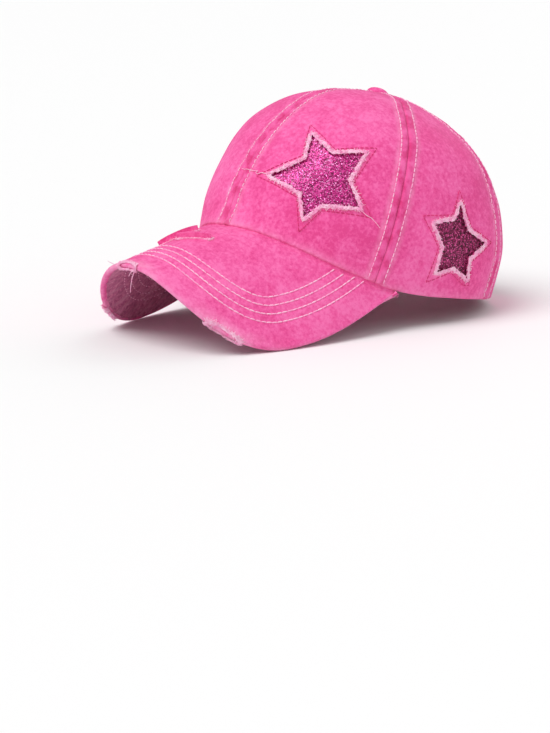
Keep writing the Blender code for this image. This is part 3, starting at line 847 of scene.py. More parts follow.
@dataclass(frozen=True)
class BackShape:
    """The back opening's arch and the ponytail opening's teardrop, as x and height on the crown's back."""

    arch_half_width: float = 0.0405
    arch_spring: float = 0.020
    arch_height: float = 0.0403
    arch_power: float = 2.35
    binding_width: float = 0.0088
    tear_half_width: float = 0.019
    tear_height: float = 0.0612
    tear_widest: float = 0.64
    tip_tuck: float = 0.0015
    tip_power: float = 1.2

    @property
    def tear_foot(self) -> float:
        """Height of the teardrop's lower tip."""
        return self.arch_height + self.binding_width - self.tip_tuck

    def arch(self, count: int = 60) -> Array:
        """The arch from the rim on the +X side to the rim on the other."""
        turn = np.linspace(0.0, np.pi, count)
        across = np.copysign(np.abs(np.cos(turn)) ** (2.0 / self.arch_power), np.cos(turn))
        up = np.clip(np.sin(turn), 0.0, 1.0) ** (2.0 / self.arch_power)
        height = self.arch_spring + (self.arch_height - self.arch_spring) * up
        bow = np.stack((self.arch_half_width * across, height), -1)
        legs = np.stack((np.full(9, self.arch_half_width), np.linspace(0.0, self.arch_spring, 10)[:-1]), -1)
        return resample(np.vstack((legs, bow, legs[::-1] * (-1.0, 1.0))), 0.0013)

    def tear(self, count: int = 24) -> Array:
        """The teardrop from its lower tip up the +X side and down the other."""
        waist = self.tear_foot + self.tear_widest * self.tear_height
        share = np.linspace(0.0, 1.0, count)[1:]
        rise = np.stack((
            self.tear_half_width * np.sin(0.5 * np.pi * share) ** self.tip_power,
            self.tear_foot + (waist - self.tear_foot) * share,
        ), -1)
        turn = np.linspace(0.0, np.pi, 2 * count)[1:-1]
        top = self.tear_foot + self.tear_height - waist
        bow = np.stack((self.tear_half_width * np.cos(turn), waist + top * np.sin(turn)), -1)
        return resample(np.vstack((rise, bow, rise[::-1] * (-1.0, 1.0))), 0.0013)

    @staticmethod
    def grown(line: Array, margin: float) -> Array:
        """An outline moved away from its opening."""
        along = unit(np.gradient(line, axis=0))
        return line + np.stack((along[:, 1], -along[:, 0]), -1) * margin


BACK = BackShape()
STARS = (
    StarPlace(
        name="front_star",
        panel="front_panel_left",
        angle=math.radians(30.3),
        rise=0.262,
        corners=(
            (-16.0, 27.5), (2.0, 17.5), (20.5, 25.5), (17.5, 4.5), (30.0, -8.5),
            (7.5, -15.5), (0.0, -27.0), (-7.0, -13.0), (-31.0, -7.0), (-12.5, 9.0),
        ),
    ),
    StarPlace(
        name="side_star",
        panel="side_panel_left",
        angle=math.radians(83.3),
        rise=0.184,
        corners=(
            (0.0, 25.0), (8.0, 8.5), (24.5, 2.0), (10.0, -8.5), (13.0, -22.5),
            (-2.0, -15.0), (-14.5, -19.5), (-12.5, -3.0), (-21.5, 11.0), (-5.5, 14.0),
        ),
        lowest=0.0262,
    ),
)


@dataclass
class CrownCloth:
    """How the crown's cloth lies: raised and puckered along its seams, softly uneven between them.

    Heights and depths in metres, with how far each reaches from its seam, row or edge.
    """

    ridge: float = 0.00055
    ridge_edge: float = 0.0016
    groove: float = 0.0011
    groove_reach: float = 0.0009
    row: float = 0.0052
    sunk: float = 0.0004
    sunk_reach: float = 0.0007
    pucker: float = 0.00045
    pucker_reach: float = 0.006
    dents: float = 0.0009
    torn: float = 0.0004
    torn_reach: float = 0.0022
    flat_by_binding: float = 0.0095
    binding_blend: float = 0.007
    flat_by_rim: float = 0.07
    rub_width: float = 0.0016
    rub_by_stars: float = 0.0017
    rub_at_hem: float = 0.022

    def __post_init__(self) -> None:
        """Places the openings' edges on the crown."""
        self.star_edge = np.vstack([
            FORM.crown(*star.spots(star.outline(spacing=0.0015))) for star in STARS
        ])
        self.back_edge = np.vstack([FORM.crown(*FORM.at_back(*line.T)) for line in (BACK.arch(), BACK.tear())])

    def from_seam(self, angle: Array, rise: Array) -> Array:
        """Distance along the cloth to the nearest seam."""
        apart = np.abs(np.asarray(angle)[..., None] - FORM.seam_angles).min(axis=-1)
        return apart * FORM.girth(angle, rise)

    def relief(self, angle: Array, rise: Array) -> Array:
        """How far the cloth stands out of the plain crown."""
        base = FORM.crown(angle, rise)
        seam = self.from_seam(angle, rise)
        calm = smooth((nearest(base, self.back_edge) - self.flat_by_binding) / self.binding_blend)
        free = calm * smooth(np.asarray(rise) / self.flat_by_rim)
        height = self.ridge * smooth((self.row + 0.0014 - seam) / self.ridge_edge)
        height = height - self.groove * bump_at(seam, 0.0, self.groove_reach)
        height = height - self.sunk * bump_at(seam, self.row, self.sunk_reach)
        near = bump_at(seam, self.row, self.pucker_reach)
        height = height + self.pucker * near * (waves(base, 0.0055, 3.0) + 0.5 * waves(base, 0.003, 6.0))
        soft = waves(base, 0.045, 11.0) + 0.45 * waves(base, 0.018, 5.0)
        torn = self.torn * bump_at(nearest(base, self.star_edge), 0.0, self.torn_reach)
        return height * calm + self.dents * soft * free + torn

    def lay(self, angle: Array, rise: Array, lift: Array | float = 0.0) -> Array:
        """Points at a height over the cloth as it lies."""
        return FORM.off_crown(angle, rise, self.relief(angle, rise) + lift)

    def seam_mark(self, angle: Array, rise: Array) -> Array:
        """1 between the rows of stitching along a seam."""
        return smooth((self.row + 0.0012 - self.from_seam(angle, rise)) / self.ridge_edge)

    def worn_mark(self, angle: Array, rise: Array) -> Array:
        """Where the cloth is rubbed pale: by the rows of stitches, at the hem and round the stars."""
        base = FORM.crown(angle, rise)
        rows = 0.55 * bump_at(self.from_seam(angle, rise), self.row + 0.0012, self.rub_width)
        hem = 0.6 * bump_at(np.asarray(rise), 0.0, self.rub_at_hem)
        stars = 0.9 * bump_at(nearest(base, self.star_edge), 0.0, self.rub_by_stars)
        return np.clip(rows + hem + stars, 0.0, 1.0)


@dataclass
class Crown:
    """The six panels with their topstitching, inner tapes, sweatband and button."""

    cloth: CrownCloth
    panel_cloth: float = 0.0010
    panel_rows: int = 116
    panel_size: tuple[float, float] = (0.09, 0.15)
    panel_space: float = 0.00006
    top_hole: float = 0.0028
    hem_radius: float = 0.0013
    hem_turn: float = math.radians(150.0)
    hem_share: float = 0.06
    hem_start: float = 0.0112
    panel_columns: tuple[tuple[str, int], ...] = (("front_panel", 84), ("side_panel", 64), ("back_panel", 76))
    button_radius: float = 0.0078
    button_height: float = 0.0050
    stem_radius: float = 0.0022
    stem_length: float = 0.003
    rows_start: float = 0.012
    rows_end: float = 0.0022
    tape_width: float = 0.009
    tape_cloth: float = 0.0008
    tape_depth: float = 0.0019
    tape_top: float = 0.0125
    tape_rows: tuple[float, float] = (0.14, 0.86)
    band_height: float = 0.030
    band_cloth: float = 0.0012
    band_depth: float = 0.0036
    band_rows: tuple[float, float] = (0.08, 0.90)
    inner_thread: float = 0.00024

    def panel(self, kind: str, low: float, high: float, columns: int, side: Side) -> bpy.types.Object:
        """One panel, turned under at the rim and dipping into its seams.

        Args:
            kind: front_panel, side_panel or back_panel.
            low: Angle of its seam nearer the front.
            high: Angle of its other seam.
            columns: Faces across.
            side: The wearer's side.

        Returns:
            The panel, without its openings.
        """
        start, end = sorted((side.value * low, side.value * high))
        top = FORM.at_radius(0.5 * (start + end), self.top_hole)

        def spots(u: Array, v: Array) -> tuple[Array, Array]:
            u = u - 0.6 * np.sin(2.0 * np.pi * u) / (2.0 * np.pi)
            share = np.maximum(v - self.hem_share, 0.0) / (1.0 - self.hem_share)
            rise = self.hem_start + (top - self.hem_start) * share
            space = self.panel_space / FORM.girth(np.full_like(u, 0.5 * (start + end)), rise)
            return start + space + (end - start - 2.0 * space) * u, rise

        def place(u: Array, v: Array) -> Array:
            angle, rise = spots(u, v)
            fold = np.clip(1.0 - v / self.hem_share, 0.0, 1.0) * self.hem_turn
            out, up = FORM.normal(angle, rise), FORM.upward(angle, rise)
            turned = out * (np.cos(fold) - 1.0)[:, None] - up * np.sin(fold)[:, None]
            return self.cloth.lay(angle, rise) + self.hem_radius * turned

        marks = {
            "seam": lambda u, v: self.cloth.seam_mark(*spots(u, v)),
            "worn": lambda u, v: self.cloth.worn_mark(*spots(u, v)),
        }
        name = f"{kind}_{side.name.lower()}"
        grid = (columns, self.panel_rows)
        return lay_cloth(f"{name}_cloth", grid, place, self.panel_size, self.panel_cloth, marks)

    def make_panels(self) -> None:
        """All six panels, with the stars and the back openings cut out."""
        arch, tear = BACK.grown(BACK.arch(), 0.0014), BACK.grown(BACK.tear(), 0.0014)
        arch = np.vstack(([arch[0, 0], -0.02], arch[1:-1], [arch[-1, 0], -0.02]))
        seams = FORM.seam_angles[len(FORM.seam_angles) // 2 :]
        for (kind, columns), low, high in zip(self.panel_columns, seams, seams[1:]):
            for side in Side:
                panel = self.panel(kind, low, high, columns, side)
                node = panel.name.removesuffix("_cloth")
                cutters = [star_prism(star, star.outline(wobble=0.0006)) for star in STARS if star.panel == node]
                if kind == "back_panel":
                    cutters += [self.back_prism(arch), self.back_prism(tear)]
                for cutter in cutters:
                    cut(panel, cutter)
                dress(panel, "cotton", Slot.COTTON, node)

    def back_prism(self, line: Array) -> bpy.types.Object:
        """A cutter straight through the crown's back round an outline of x and height."""
        rings = [np.stack((line[:, 0], np.full(len(line), y), line[:, 1]), axis=-1) for y in (0.005, 0.130)]
        return swept("cutter", np.array(rings))

    def make_topstitching(self) -> None:
        """Two rows of pale stitches along every seam, meeting round the button."""
        threads = Threads("crown_topstitching")
        edge = float(FORM.at_back(0.0, BACK.tear_foot + BACK.tear_height)[1])
        climb = np.linalg.norm(FORM.crown(np.pi, edge + 0.01) - FORM.crown(np.pi, edge)) / 0.01
        for seam in FORM.seam_angles[1:]:
            top = FORM.at_radius(seam, self.button_radius + self.rows_end)
            low = self.rows_start if seam < 3.0 else edge + (BACK.binding_width + 0.0008) / climb
            rise = np.linspace(low, top, 220)
            girth = FORM.girth(np.full_like(rise, seam), rise)
            for side in Side:
                apart = np.minimum(self.cloth.row / girth, math.radians(25.0))
                angle = seam + side.value * apart
                threads.sew(self.cloth.lay(angle, rise), FORM.normal(angle, rise))
        threads.finish("topstitch")

    def make_tapes(self) -> None:
        """The tape over the inside of each seam, sewn along both edges."""
        rows = Threads("tape_stitching")
        tear_top = BACK.tear_foot + BACK.tear_height + BACK.binding_width
        names = ("side_back_right", "side_front_right", "front", "side_front_left", "side_back_left", "back")
        for seam, name in zip(FORM.seam_angles[1:], names):
            top = FORM.at_radius(seam, self.tape_top)
            low = self.rows_start if name != "back" else float(FORM.at_back(0.0, tear_top)[1])

            def spots(u: Array, v: Array, seam: float = seam, low: float = low, top: float = top) -> tuple:
                rise = low + (top - low) * v
                return seam + self.tape_width / FORM.girth(np.full_like(rise, seam), rise) * (u - 0.5), rise

            def place(u: Array, v: Array, spots: Callable = spots) -> Array:
                angle, rise = spots(u, v)
                bowed = 0.0004 * np.sin(np.pi * u) - 0.00015 * waves(FORM.crown(angle, rise), 0.006, 4.0)
                return FORM.off_crown(angle, rise, -self.tape_depth - bowed)

            tape = lay_cloth(f"tape_{name}", (6, 90), place, (self.tape_width, 0.14), self.tape_cloth)
            dress(tape, "inside", Slot.INSIDE, f"seam_tape_{name}")
            for share in self.tape_rows:
                v = np.linspace(0.01, 0.99, 120)
                angle, rise = spots(np.full_like(v, share), v)
                rows.sew_on_crown(angle, rise, -0.0029, inside=True, radius=0.00022)
        rows.finish("topstitch")

    def make_sweatband(self) -> None:
        """The band inside the rim, with a row of stitches along its upper edge."""
        end = float(FORM.at_back(BACK.arch_half_width + BACK.binding_width + 0.0015, 0.015)[0])

        def spots(u: Array, v: Array) -> tuple[Array, Array]:
            lift = (0.001 + self.band_height * v) / FORM.crown_height
            rise = solve(lambda r: FORM.section(r)[..., 0] - lift, np.zeros_like(v), np.full_like(v, 0.6))
            return end * (2.0 * u - 1.0), rise

        def place(u: Array, v: Array) -> Array:
            angle, rise = spots(u, v)
            base = FORM.crown(angle, rise)
            soft = 0.0005 * waves(base * (1.0, 1.0, 0.25), 0.011, 9.0) * np.sin(np.pi * v)
            return FORM.off_crown(angle, rise, -self.band_depth + np.minimum(soft, 0.0002))

        band = lay_cloth("sweatband_cloth", (230, 12), place, (0.50, self.band_height), self.band_cloth)
        dress(band, "inside", Slot.INSIDE, "sweatband")
        row = Threads("sweatband_stitching")
        for share in self.band_rows:
            u = np.linspace(0.004, 0.996, 500)
            angle, rise = spots(u, np.full_like(u, share))
            row.sew_on_crown(angle, rise, -self.band_depth - 0.0013, inside=True, radius=self.inner_thread)
        row.finish("topstitch")

    def turned(self, name: str, profile: Sequence[tuple[float, float]], steps: int = 48) -> bpy.types.Object:
        """A solid turned about the button's axis.

        Args:
            name: The object's name.
            profile: Radii and heights down its outer side, from axis to axis.
            steps: Faces round it.

        Returns:
            The object.
        """
        solid = bmesh.new()
        corners = [solid.verts.new((radius, 0.0, height)) for radius, height in profile]
        edges = [solid.edges.new(pair) for pair in zip(corners, corners[1:])]
        turn = {"cent": (0, 0, 0), "axis": (0, 0, 1), "angle": 2.0 * math.pi, "steps": steps, "use_merge": True}
        bmesh.ops.spin(solid, geom=corners + edges, **turn)
        bmesh.ops.remove_doubles(solid, verts=solid.verts[:], dist=0.00001)
        bmesh.ops.recalc_face_normals(solid, faces=solid.faces[:])
        tilt = Vector((0.0, FORM.top_fall, 1.0)).to_track_quat("Z", "Y").to_matrix().to_4x4()
        place = Matrix.Translation(Vector(FORM.crown(0.0, 1.0))) @ tilt
        for vertex in solid.verts:
            around = math.atan2(vertex.co.y, vertex.co.x)
            out = math.hypot(vertex.co.x, vertex.co.y) / self.button_radius
            vertex.co.z -= 0.00022 * max(out - 0.35, 0.0) * math.cos(14.0 * around) * (vertex.co.z > 0.0)
            vertex.co = FORM.stand(np.array(place @ vertex.co))
        return as_object(name, solid)

    def make_button(self) -> None:
        """The covered button and the disc that holds it inside."""
        profile = [(0.0, self.button_height)]
        for index in range(1, 15):
            turn = math.radians(6.6 * index)
            height = 0.0003 + (self.button_height - 0.0003) * max(math.cos(turn), 0.0)
            profile.append((self.button_radius * math.sin(min(turn, math.pi / 2.0)) ** 0.8, height))
        profile += [(self.button_radius - 0.0006, 0.0), (self.stem_radius, 0.0)]
        profile += [(self.stem_radius, -self.stem_length), (0.0, -self.stem_length)]
        dress(self.turned("button_cover", profile), "cotton", Slot.COTTON, "button")
        disc = [(0.0, -0.0034), (0.0078, -0.0034), (0.0085, -0.0038)]
        disc += [(0.0085, -0.0044), (0.0076, -0.0048), (0.0, -0.0048)]
        dress(self.turned("button_inner_disc", disc, 32), "inside", Slot.INSIDE, "button_back")


def star_prism(star: StarPlace, line: Array) -> bpy.types.Object:
    """A cutter square to the crown in the middle of a star, round a flat outline."""
    centre, out, level, up = FORM.touching(star.angle, star.rise)
    flat = centre + line[:, :1] * level + line[:, 1:] * up
    return swept("cutter", np.array([flat + 0.016 * out, flat - 0.016 * out]))


@dataclass
class Fray:
    """A cut edge of cloth: yarns along it, as distances outside it and radii, with short fibres both ways."""

    threads: Threads
    lay: Callable[[Array, Array], Array]
    chance: np.random.Generator
    yarns: tuple[tuple[float, float], ...] = ((0.0012, 0.00042), (0.0005, 0.00056), (-0.0002, 0.00046))
    wander: float = 0.0007

    def yarns_along(self, line: Array, out: Array) -> None:
        """Yarns that follow a closed edge, each at its own distance outside it."""
        ends = np.r_[np.arange(len(line)), 0]
        for shift, thick in self.yarns:
            spots = np.c_[line, np.full(len(line), shift)]
            flat = line + out * (shift + self.wander * waves(spots, 0.0017, 4.0))[:, None]
            lift = 0.0004 + 0.0003 * waves(spots, 0.0012, 7.0)
            radii = thick * (0.95 + 0.75 * waves(spots, 0.0008, 9.0))
            self.threads.add(self.lay(flat, lift)[ends], radii[ends])

    def fibres(self, line: Array, out: Array, longest: float, rounds: int = 1) -> None:
        """Short fibres that start on an edge.

        Args:
            line: Flat points along the edge, one fibre for each.
            out: Direction away from the opening at each.
            longest: Length of the longest.
            rounds: How often the edge is gone round.
        """
        along = np.stack((out[:, 1], -out[:, 0]), axis=-1)
        steps = np.array((0.0, 0.35, 0.7, 1.0))[None, :, None]
        count = len(line)
        for _ in range(rounds):
            way = out * self.chance.normal(0.35, 0.7, (count, 1)) + along * self.chance.normal(0.0, 0.9, (count, 1))
            length = self.chance.uniform(0.35, 1.0, (count, 1)) * longest
            base = line + out * self.chance.uniform(-0.0002, 0.0012, (count, 1))
            bend = np.stack((-way[:, 1], way[:, 0]), axis=-1) * self.chance.normal(0.0, 0.25, (count, 1))
            flat = base[:, None] + (unit(way)[:, None] * steps + bend[:, None] * steps**2) * length[:, None]
            lift = np.array((0.0002, 0.0008, 0.0010, 0.0007))[None, :] * self.chance.uniform(0.5, 1.4, (count, 1))
            for strand in self.lay(flat.reshape(-1, 2), lift.ravel()).reshape(count, 4, 3):
                self.threads.add(strand, (0.00019, 0.00020, 0.00015, 0.00007))


@dataclass
class StarCut:
    """A star cut through a panel: its frayed edge, the glitter cloth behind it and the stitches round it."""

    star: StarPlace
    cloth: CrownCloth
    shade: Shade
    loose: tuple[tuple[tuple[float, float], ...], ...] = ()
    patch_margin: float = 0.004
    patch_depth: float = 0.0014
    patch_cloth: float = 0.0008
    flake: float = 0.00043
    flake_lean: float = 0.30
    flakes_per_mm2: float = 1.5
    shown_margin: float = 0.0012
    wobble: float = 0.0006
    longest_fibre: float = 0.0026
    stitch_margins: tuple[float, float] = (0.0080, 0.0034)

    def on_cloth(self, flat: Array, lift: Array | float) -> Array:
        """Flat offsets as points over the cloth."""
        return self.cloth.lay(*self.star.spots(flat), lift)

    def make_patch(self) -> None:
        """The glitter cloth, covered in flakes that lie at all angles."""
        half = self.star.reach + self.patch_margin + 0.001
        low = min(half, self.star.lowest)

        def place(u: Array, v: Array) -> Array:
            flat = np.stack((half * (2.0 * u - 1.0), -low + (low + half) * v), axis=-1)
            return self.on_cloth(flat, -self.patch_depth)

        size = (2.0 * half, 2.0 * half)
        patch = lay_cloth(f"{self.star.name}_glitter_cloth", (44, 44), place, size, self.patch_cloth)
        cut(patch, star_prism(self.star, self.star.outline(self.patch_margin, self.patch_margin)), keep=True)
        dress(patch, f"{self.shade.value}_glitter", Slot.GLITTER, f"{self.star.name}_patch")
        self.scatter_flakes()

    def scatter_flakes(self) -> None:
        """Glitter flakes over what shows of the cloth."""
        chance = np.random.default_rng(5)
        reach = self.star.reach + 0.001
        count = int(3.1 * reach**2 * 1e6 * self.flakes_per_mm2)
        flat = chance.uniform(-reach, reach, (count, 2))
        edge = self.star.outline(self.shown_margin, self.shown_margin)
        ahead = np.roll(edge, -1, axis=0)
        x, y = flat[:, :1], flat[:, 1:]
        crossed = (edge[:, 1] > y) != (ahead[:, 1] > y)
        meet = edge[:, 0] + (y - edge[:, 1]) / (ahead[:, 1] - edge[:, 1] + 1e-12) * (ahead[:, 0] - edge[:, 0])
        flat = flat[(crossed & (x < meet)).sum(axis=1) % 2 == 1]
        spots = self.star.spots(flat)
        lift = -self.patch_depth + chance.uniform(0.0001, 0.0004, len(flat))
        points, outs = FORM.stand(self.cloth.lay(*spots, lift)), FORM.normal(*spots)
        outs = FORM.stand(outs) - FORM.stand(np.zeros(3))
        flakes = bmesh.new()
        tint = flakes.verts.layers.float.new("tint")
        leans, shades = chance.normal(0.0, self.flake_lean, (len(flat), 3)), chance.random(len(flat))
        for point, out, lean, shade in zip(points, outs, leans, shades):
            turned = Vector(out + lean).to_track_quat("Z", "Y").to_matrix().to_4x4()
            matrix = Matrix.Translation(Vector(point)) @ turned
            size = self.flake * (0.75 + shade * (1.0 - shade))
            ring = bmesh.ops.create_circle(flakes, cap_ends=True, segments=6, radius=size, matrix=matrix)
            for vertex in ring["verts"]:
                vertex[tint] = shade
        obj = as_object(f"{self.star.name}_flakes", flakes)
        dress(obj, f"{self.shade.value}_flakes", Slot.GLITTER)

    def make_fray(self) -> None:
        """The cut edge, with its long loose threads."""
        threads = Threads(f"{self.star.name}_fray", sides=1)
        fray = Fray(threads, self.on_cloth, np.random.default_rng(11))
        line = self.star.outline(wobble=self.wobble, spacing=0.0006)
        fray.yarns_along(line, self.star.outward(line))
        hair = self.star.outline(wobble=self.wobble, spacing=0.00055)
        fray.fibres(hair, self.star.outward(hair), self.longest_fibre, rounds=2)
        for spots in self.loose:
            threads.add(*self.loose_thread(spots))
        threads.finish("fray")

    def loose_thread(self, spots: Sequence[tuple[float, float]]) -> tuple[Array, Array]:
        """A long yarn that lies on the cloth through places given in degrees and rise."""
        line = resample(np.array(spots) * (1.0, 100.0), 0.6) / (1.0, 100.0)
        angle, rise = np.radians(line[:, 0]), line[:, 1]
        lift = 0.0004 + 0.0004 * np.abs(waves(FORM.crown(angle, rise), 0.004, 3.0))
        wander = 0.0012 * waves(FORM.crown(angle, rise), 0.006, 12.0)
        return self.cloth.lay(angle, rise + wander, lift), np.linspace(0.00030, 0.00018, len(line))

    def make_stitches(self) -> None:
        """The deep pink outline of stitches that holds the patch."""
        line = self.star.outline(*self.stitch_margins)
        line = line[line[:, 1] > -self.star.lowest]
        spots = self.star.spots(line)
        threads = Threads(f"{self.star.name}_outline_stitches")
        threads.sew(self.cloth.lay(*spots), FORM.normal(*spots), stitch=0.0025, pitch=0.0030, radius=0.00030)
        threads.finish("tone_stitch")


@dataclass
class BackOpening:
    """The bindings round both back openings and the two straps."""

    strap_width: float = 0.022
    strap_cloth: float = 0.0014
    strap_tuck: float = 0.0080
    end_space: float = 0.0025
    strap_step: float = 0.0080
    inner_lift: float = 0.0022
    inner_share: float = 0.70
    deep: float = 0.0028
    shallow: float = 0.0011

    def section(self) -> Array:
        """The folded tape's section, as distances from the opening's edge and out of the cloth."""
        w = BACK.binding_width * 1000.0
        outer = ((w, 0.1), (w, 0.85), (w - 0.4, 1.2), (w * 0.6, 1.45), (1.6, 1.5), (0.6, 1.2), (0.0, 0.4))
        inner = ((0.0, -0.9), (0.5, -1.9), (1.4, -2.4), (w - 0.4, -2.4))
        inner += ((w, -2.0), (w, -1.6), (1.1, -1.6), (1.1, 0.1))
        return np.array(outer + inner) * 0.001

    def make_binding(self, name: str, node: str, line: Array, row: float, tucked: bool) -> None:
        """A folded tape round an opening's edge, with a row of stitches through it.

        Args:
            name: The piece's name.
            node: The node that it stands for.
            line: The opening's edge.
            row: Distance of the stitches from the opening.
            tucked: Whether its ends run under the other binding.
        """
        section = self.section()
        angle, rise = FORM.at_back(line[:, 0], line[:, 1])
        points, out = FORM.crown(angle, rise), FORM.normal(angle, rise)
        away = unit(np.cross(out, unit(np.gradient(points, axis=0))))
        flat = points[:, None] + away[:, None] * section[None, :, :1]
        angles, rises = FORM.at_back(flat[..., 0], np.maximum(flat[..., 2], 0.0))
        uneven = waves(flat.reshape(-1, 3), 0.0042, 2.0).reshape(flat.shape[:2])
        lift = section[None, :, 1] * (1.0 + 0.22 * uneven)
        if tucked:
            inset = np.minimum(np.arange(len(line)), np.arange(len(line))[::-1]) * 0.0013
            share = 0.35 + 0.65 * smooth(inset / 0.006)
            lift = np.where(lift > 0.0, lift * share[:, None], lift)
        obj = swept(name, FORM.off_crown(angles, rises, lift))
        dress(obj, "binding", Slot.BINDING, node)
        flat = points + away * row
        angle, rise = FORM.at_back(flat[:, 0], np.maximum(flat[:, 2], 0.0))
        threads = Threads(f"{name}_stitches")
        threads.sew_on_crown(angle, rise, 0.00142)
        threads.finish("topstitch")

    def strap_spot(self, x: Array, z: Array, lift: Array) -> Array:
        """A point over or under the crown's back at an x and height."""
        return FORM.off_crown(*FORM.at_back(x, z), lift)

    def make_straps(self) -> None:
        """The outer strap, sewn round its squared end, and the inner one behind it."""
        tucked = BACK.arch_half_width + self.strap_tuck
        free = self.end_space - BACK.arch_half_width
        inner_end = BACK.arch_half_width * self.inner_share

        def outer_lift(x: Array, z: Array) -> Array:
            step = smooth((x - inner_end - 0.001) / self.strap_step)
            uneven = 0.00035 * waves(np.stack((x, 0.5 * z, 0.0 * x), -1), 0.014, 3.0)
            return -self.shallow - (self.deep - self.shallow) * step + uneven

        def outer(u: Array, v: Array) -> Array:
            x, z = free + (tucked - free) * u, self.strap_width * v
            return self.strap_spot(x, z, outer_lift(x, z))

        def inner(u: Array, v: Array) -> Array:
            x, z = -tucked + (inner_end + tucked) * u, self.inner_lift + self.strap_width * v
            return self.strap_spot(x, z, np.full_like(x, -self.deep - 0.0003))

        size = (0.09, self.strap_width)
        rub = {"worn": lambda _, v: 0.8 * bump_at(np.minimum(v, 1.0 - v), 0.0, 0.05)}
        for name, grid, place in (("strap_outer", (110, 20), outer), ("strap_inner", (100, 16), inner)):
            strap = lay_cloth(f"{name}_tape", grid, place, size, self.strap_cloth, rub, flip=True)
            dress(strap, "strap", Slot.STRAP, name)
        corner = free + 0.0026
        path = np.array(((tucked, 0.0022), (corner, 0.0022), (corner, 0.0196), (tucked, 0.0196)))
        path = np.vstack([resample(path[k : k + 2], 0.001) for k in range(3)])
        lift = outer_lift(path[:, 0], path[:, 1])
        threads = Threads("strap_stitches")
        spots = FORM.at_back(path[:, 0], path[:, 1])
        threads.sew_on_crown(*spots, lift, stitch=0.0027, pitch=0.0036, radius=0.00034)
        threads.finish("topstitch")


@dataclass(frozen=True)
class WornSpot:
    """A worn-through place on the peak's free edge, with half its length and half its height."""

    across: float
    length: float
    height: float
    longest: float


@dataclass(frozen=True)
class LooseEnd:
    """A long thread out of one end of a worn spot, its way along the edge, out of the top and forward."""

    end: float
    reach: float
    way: tuple[float, float, float]


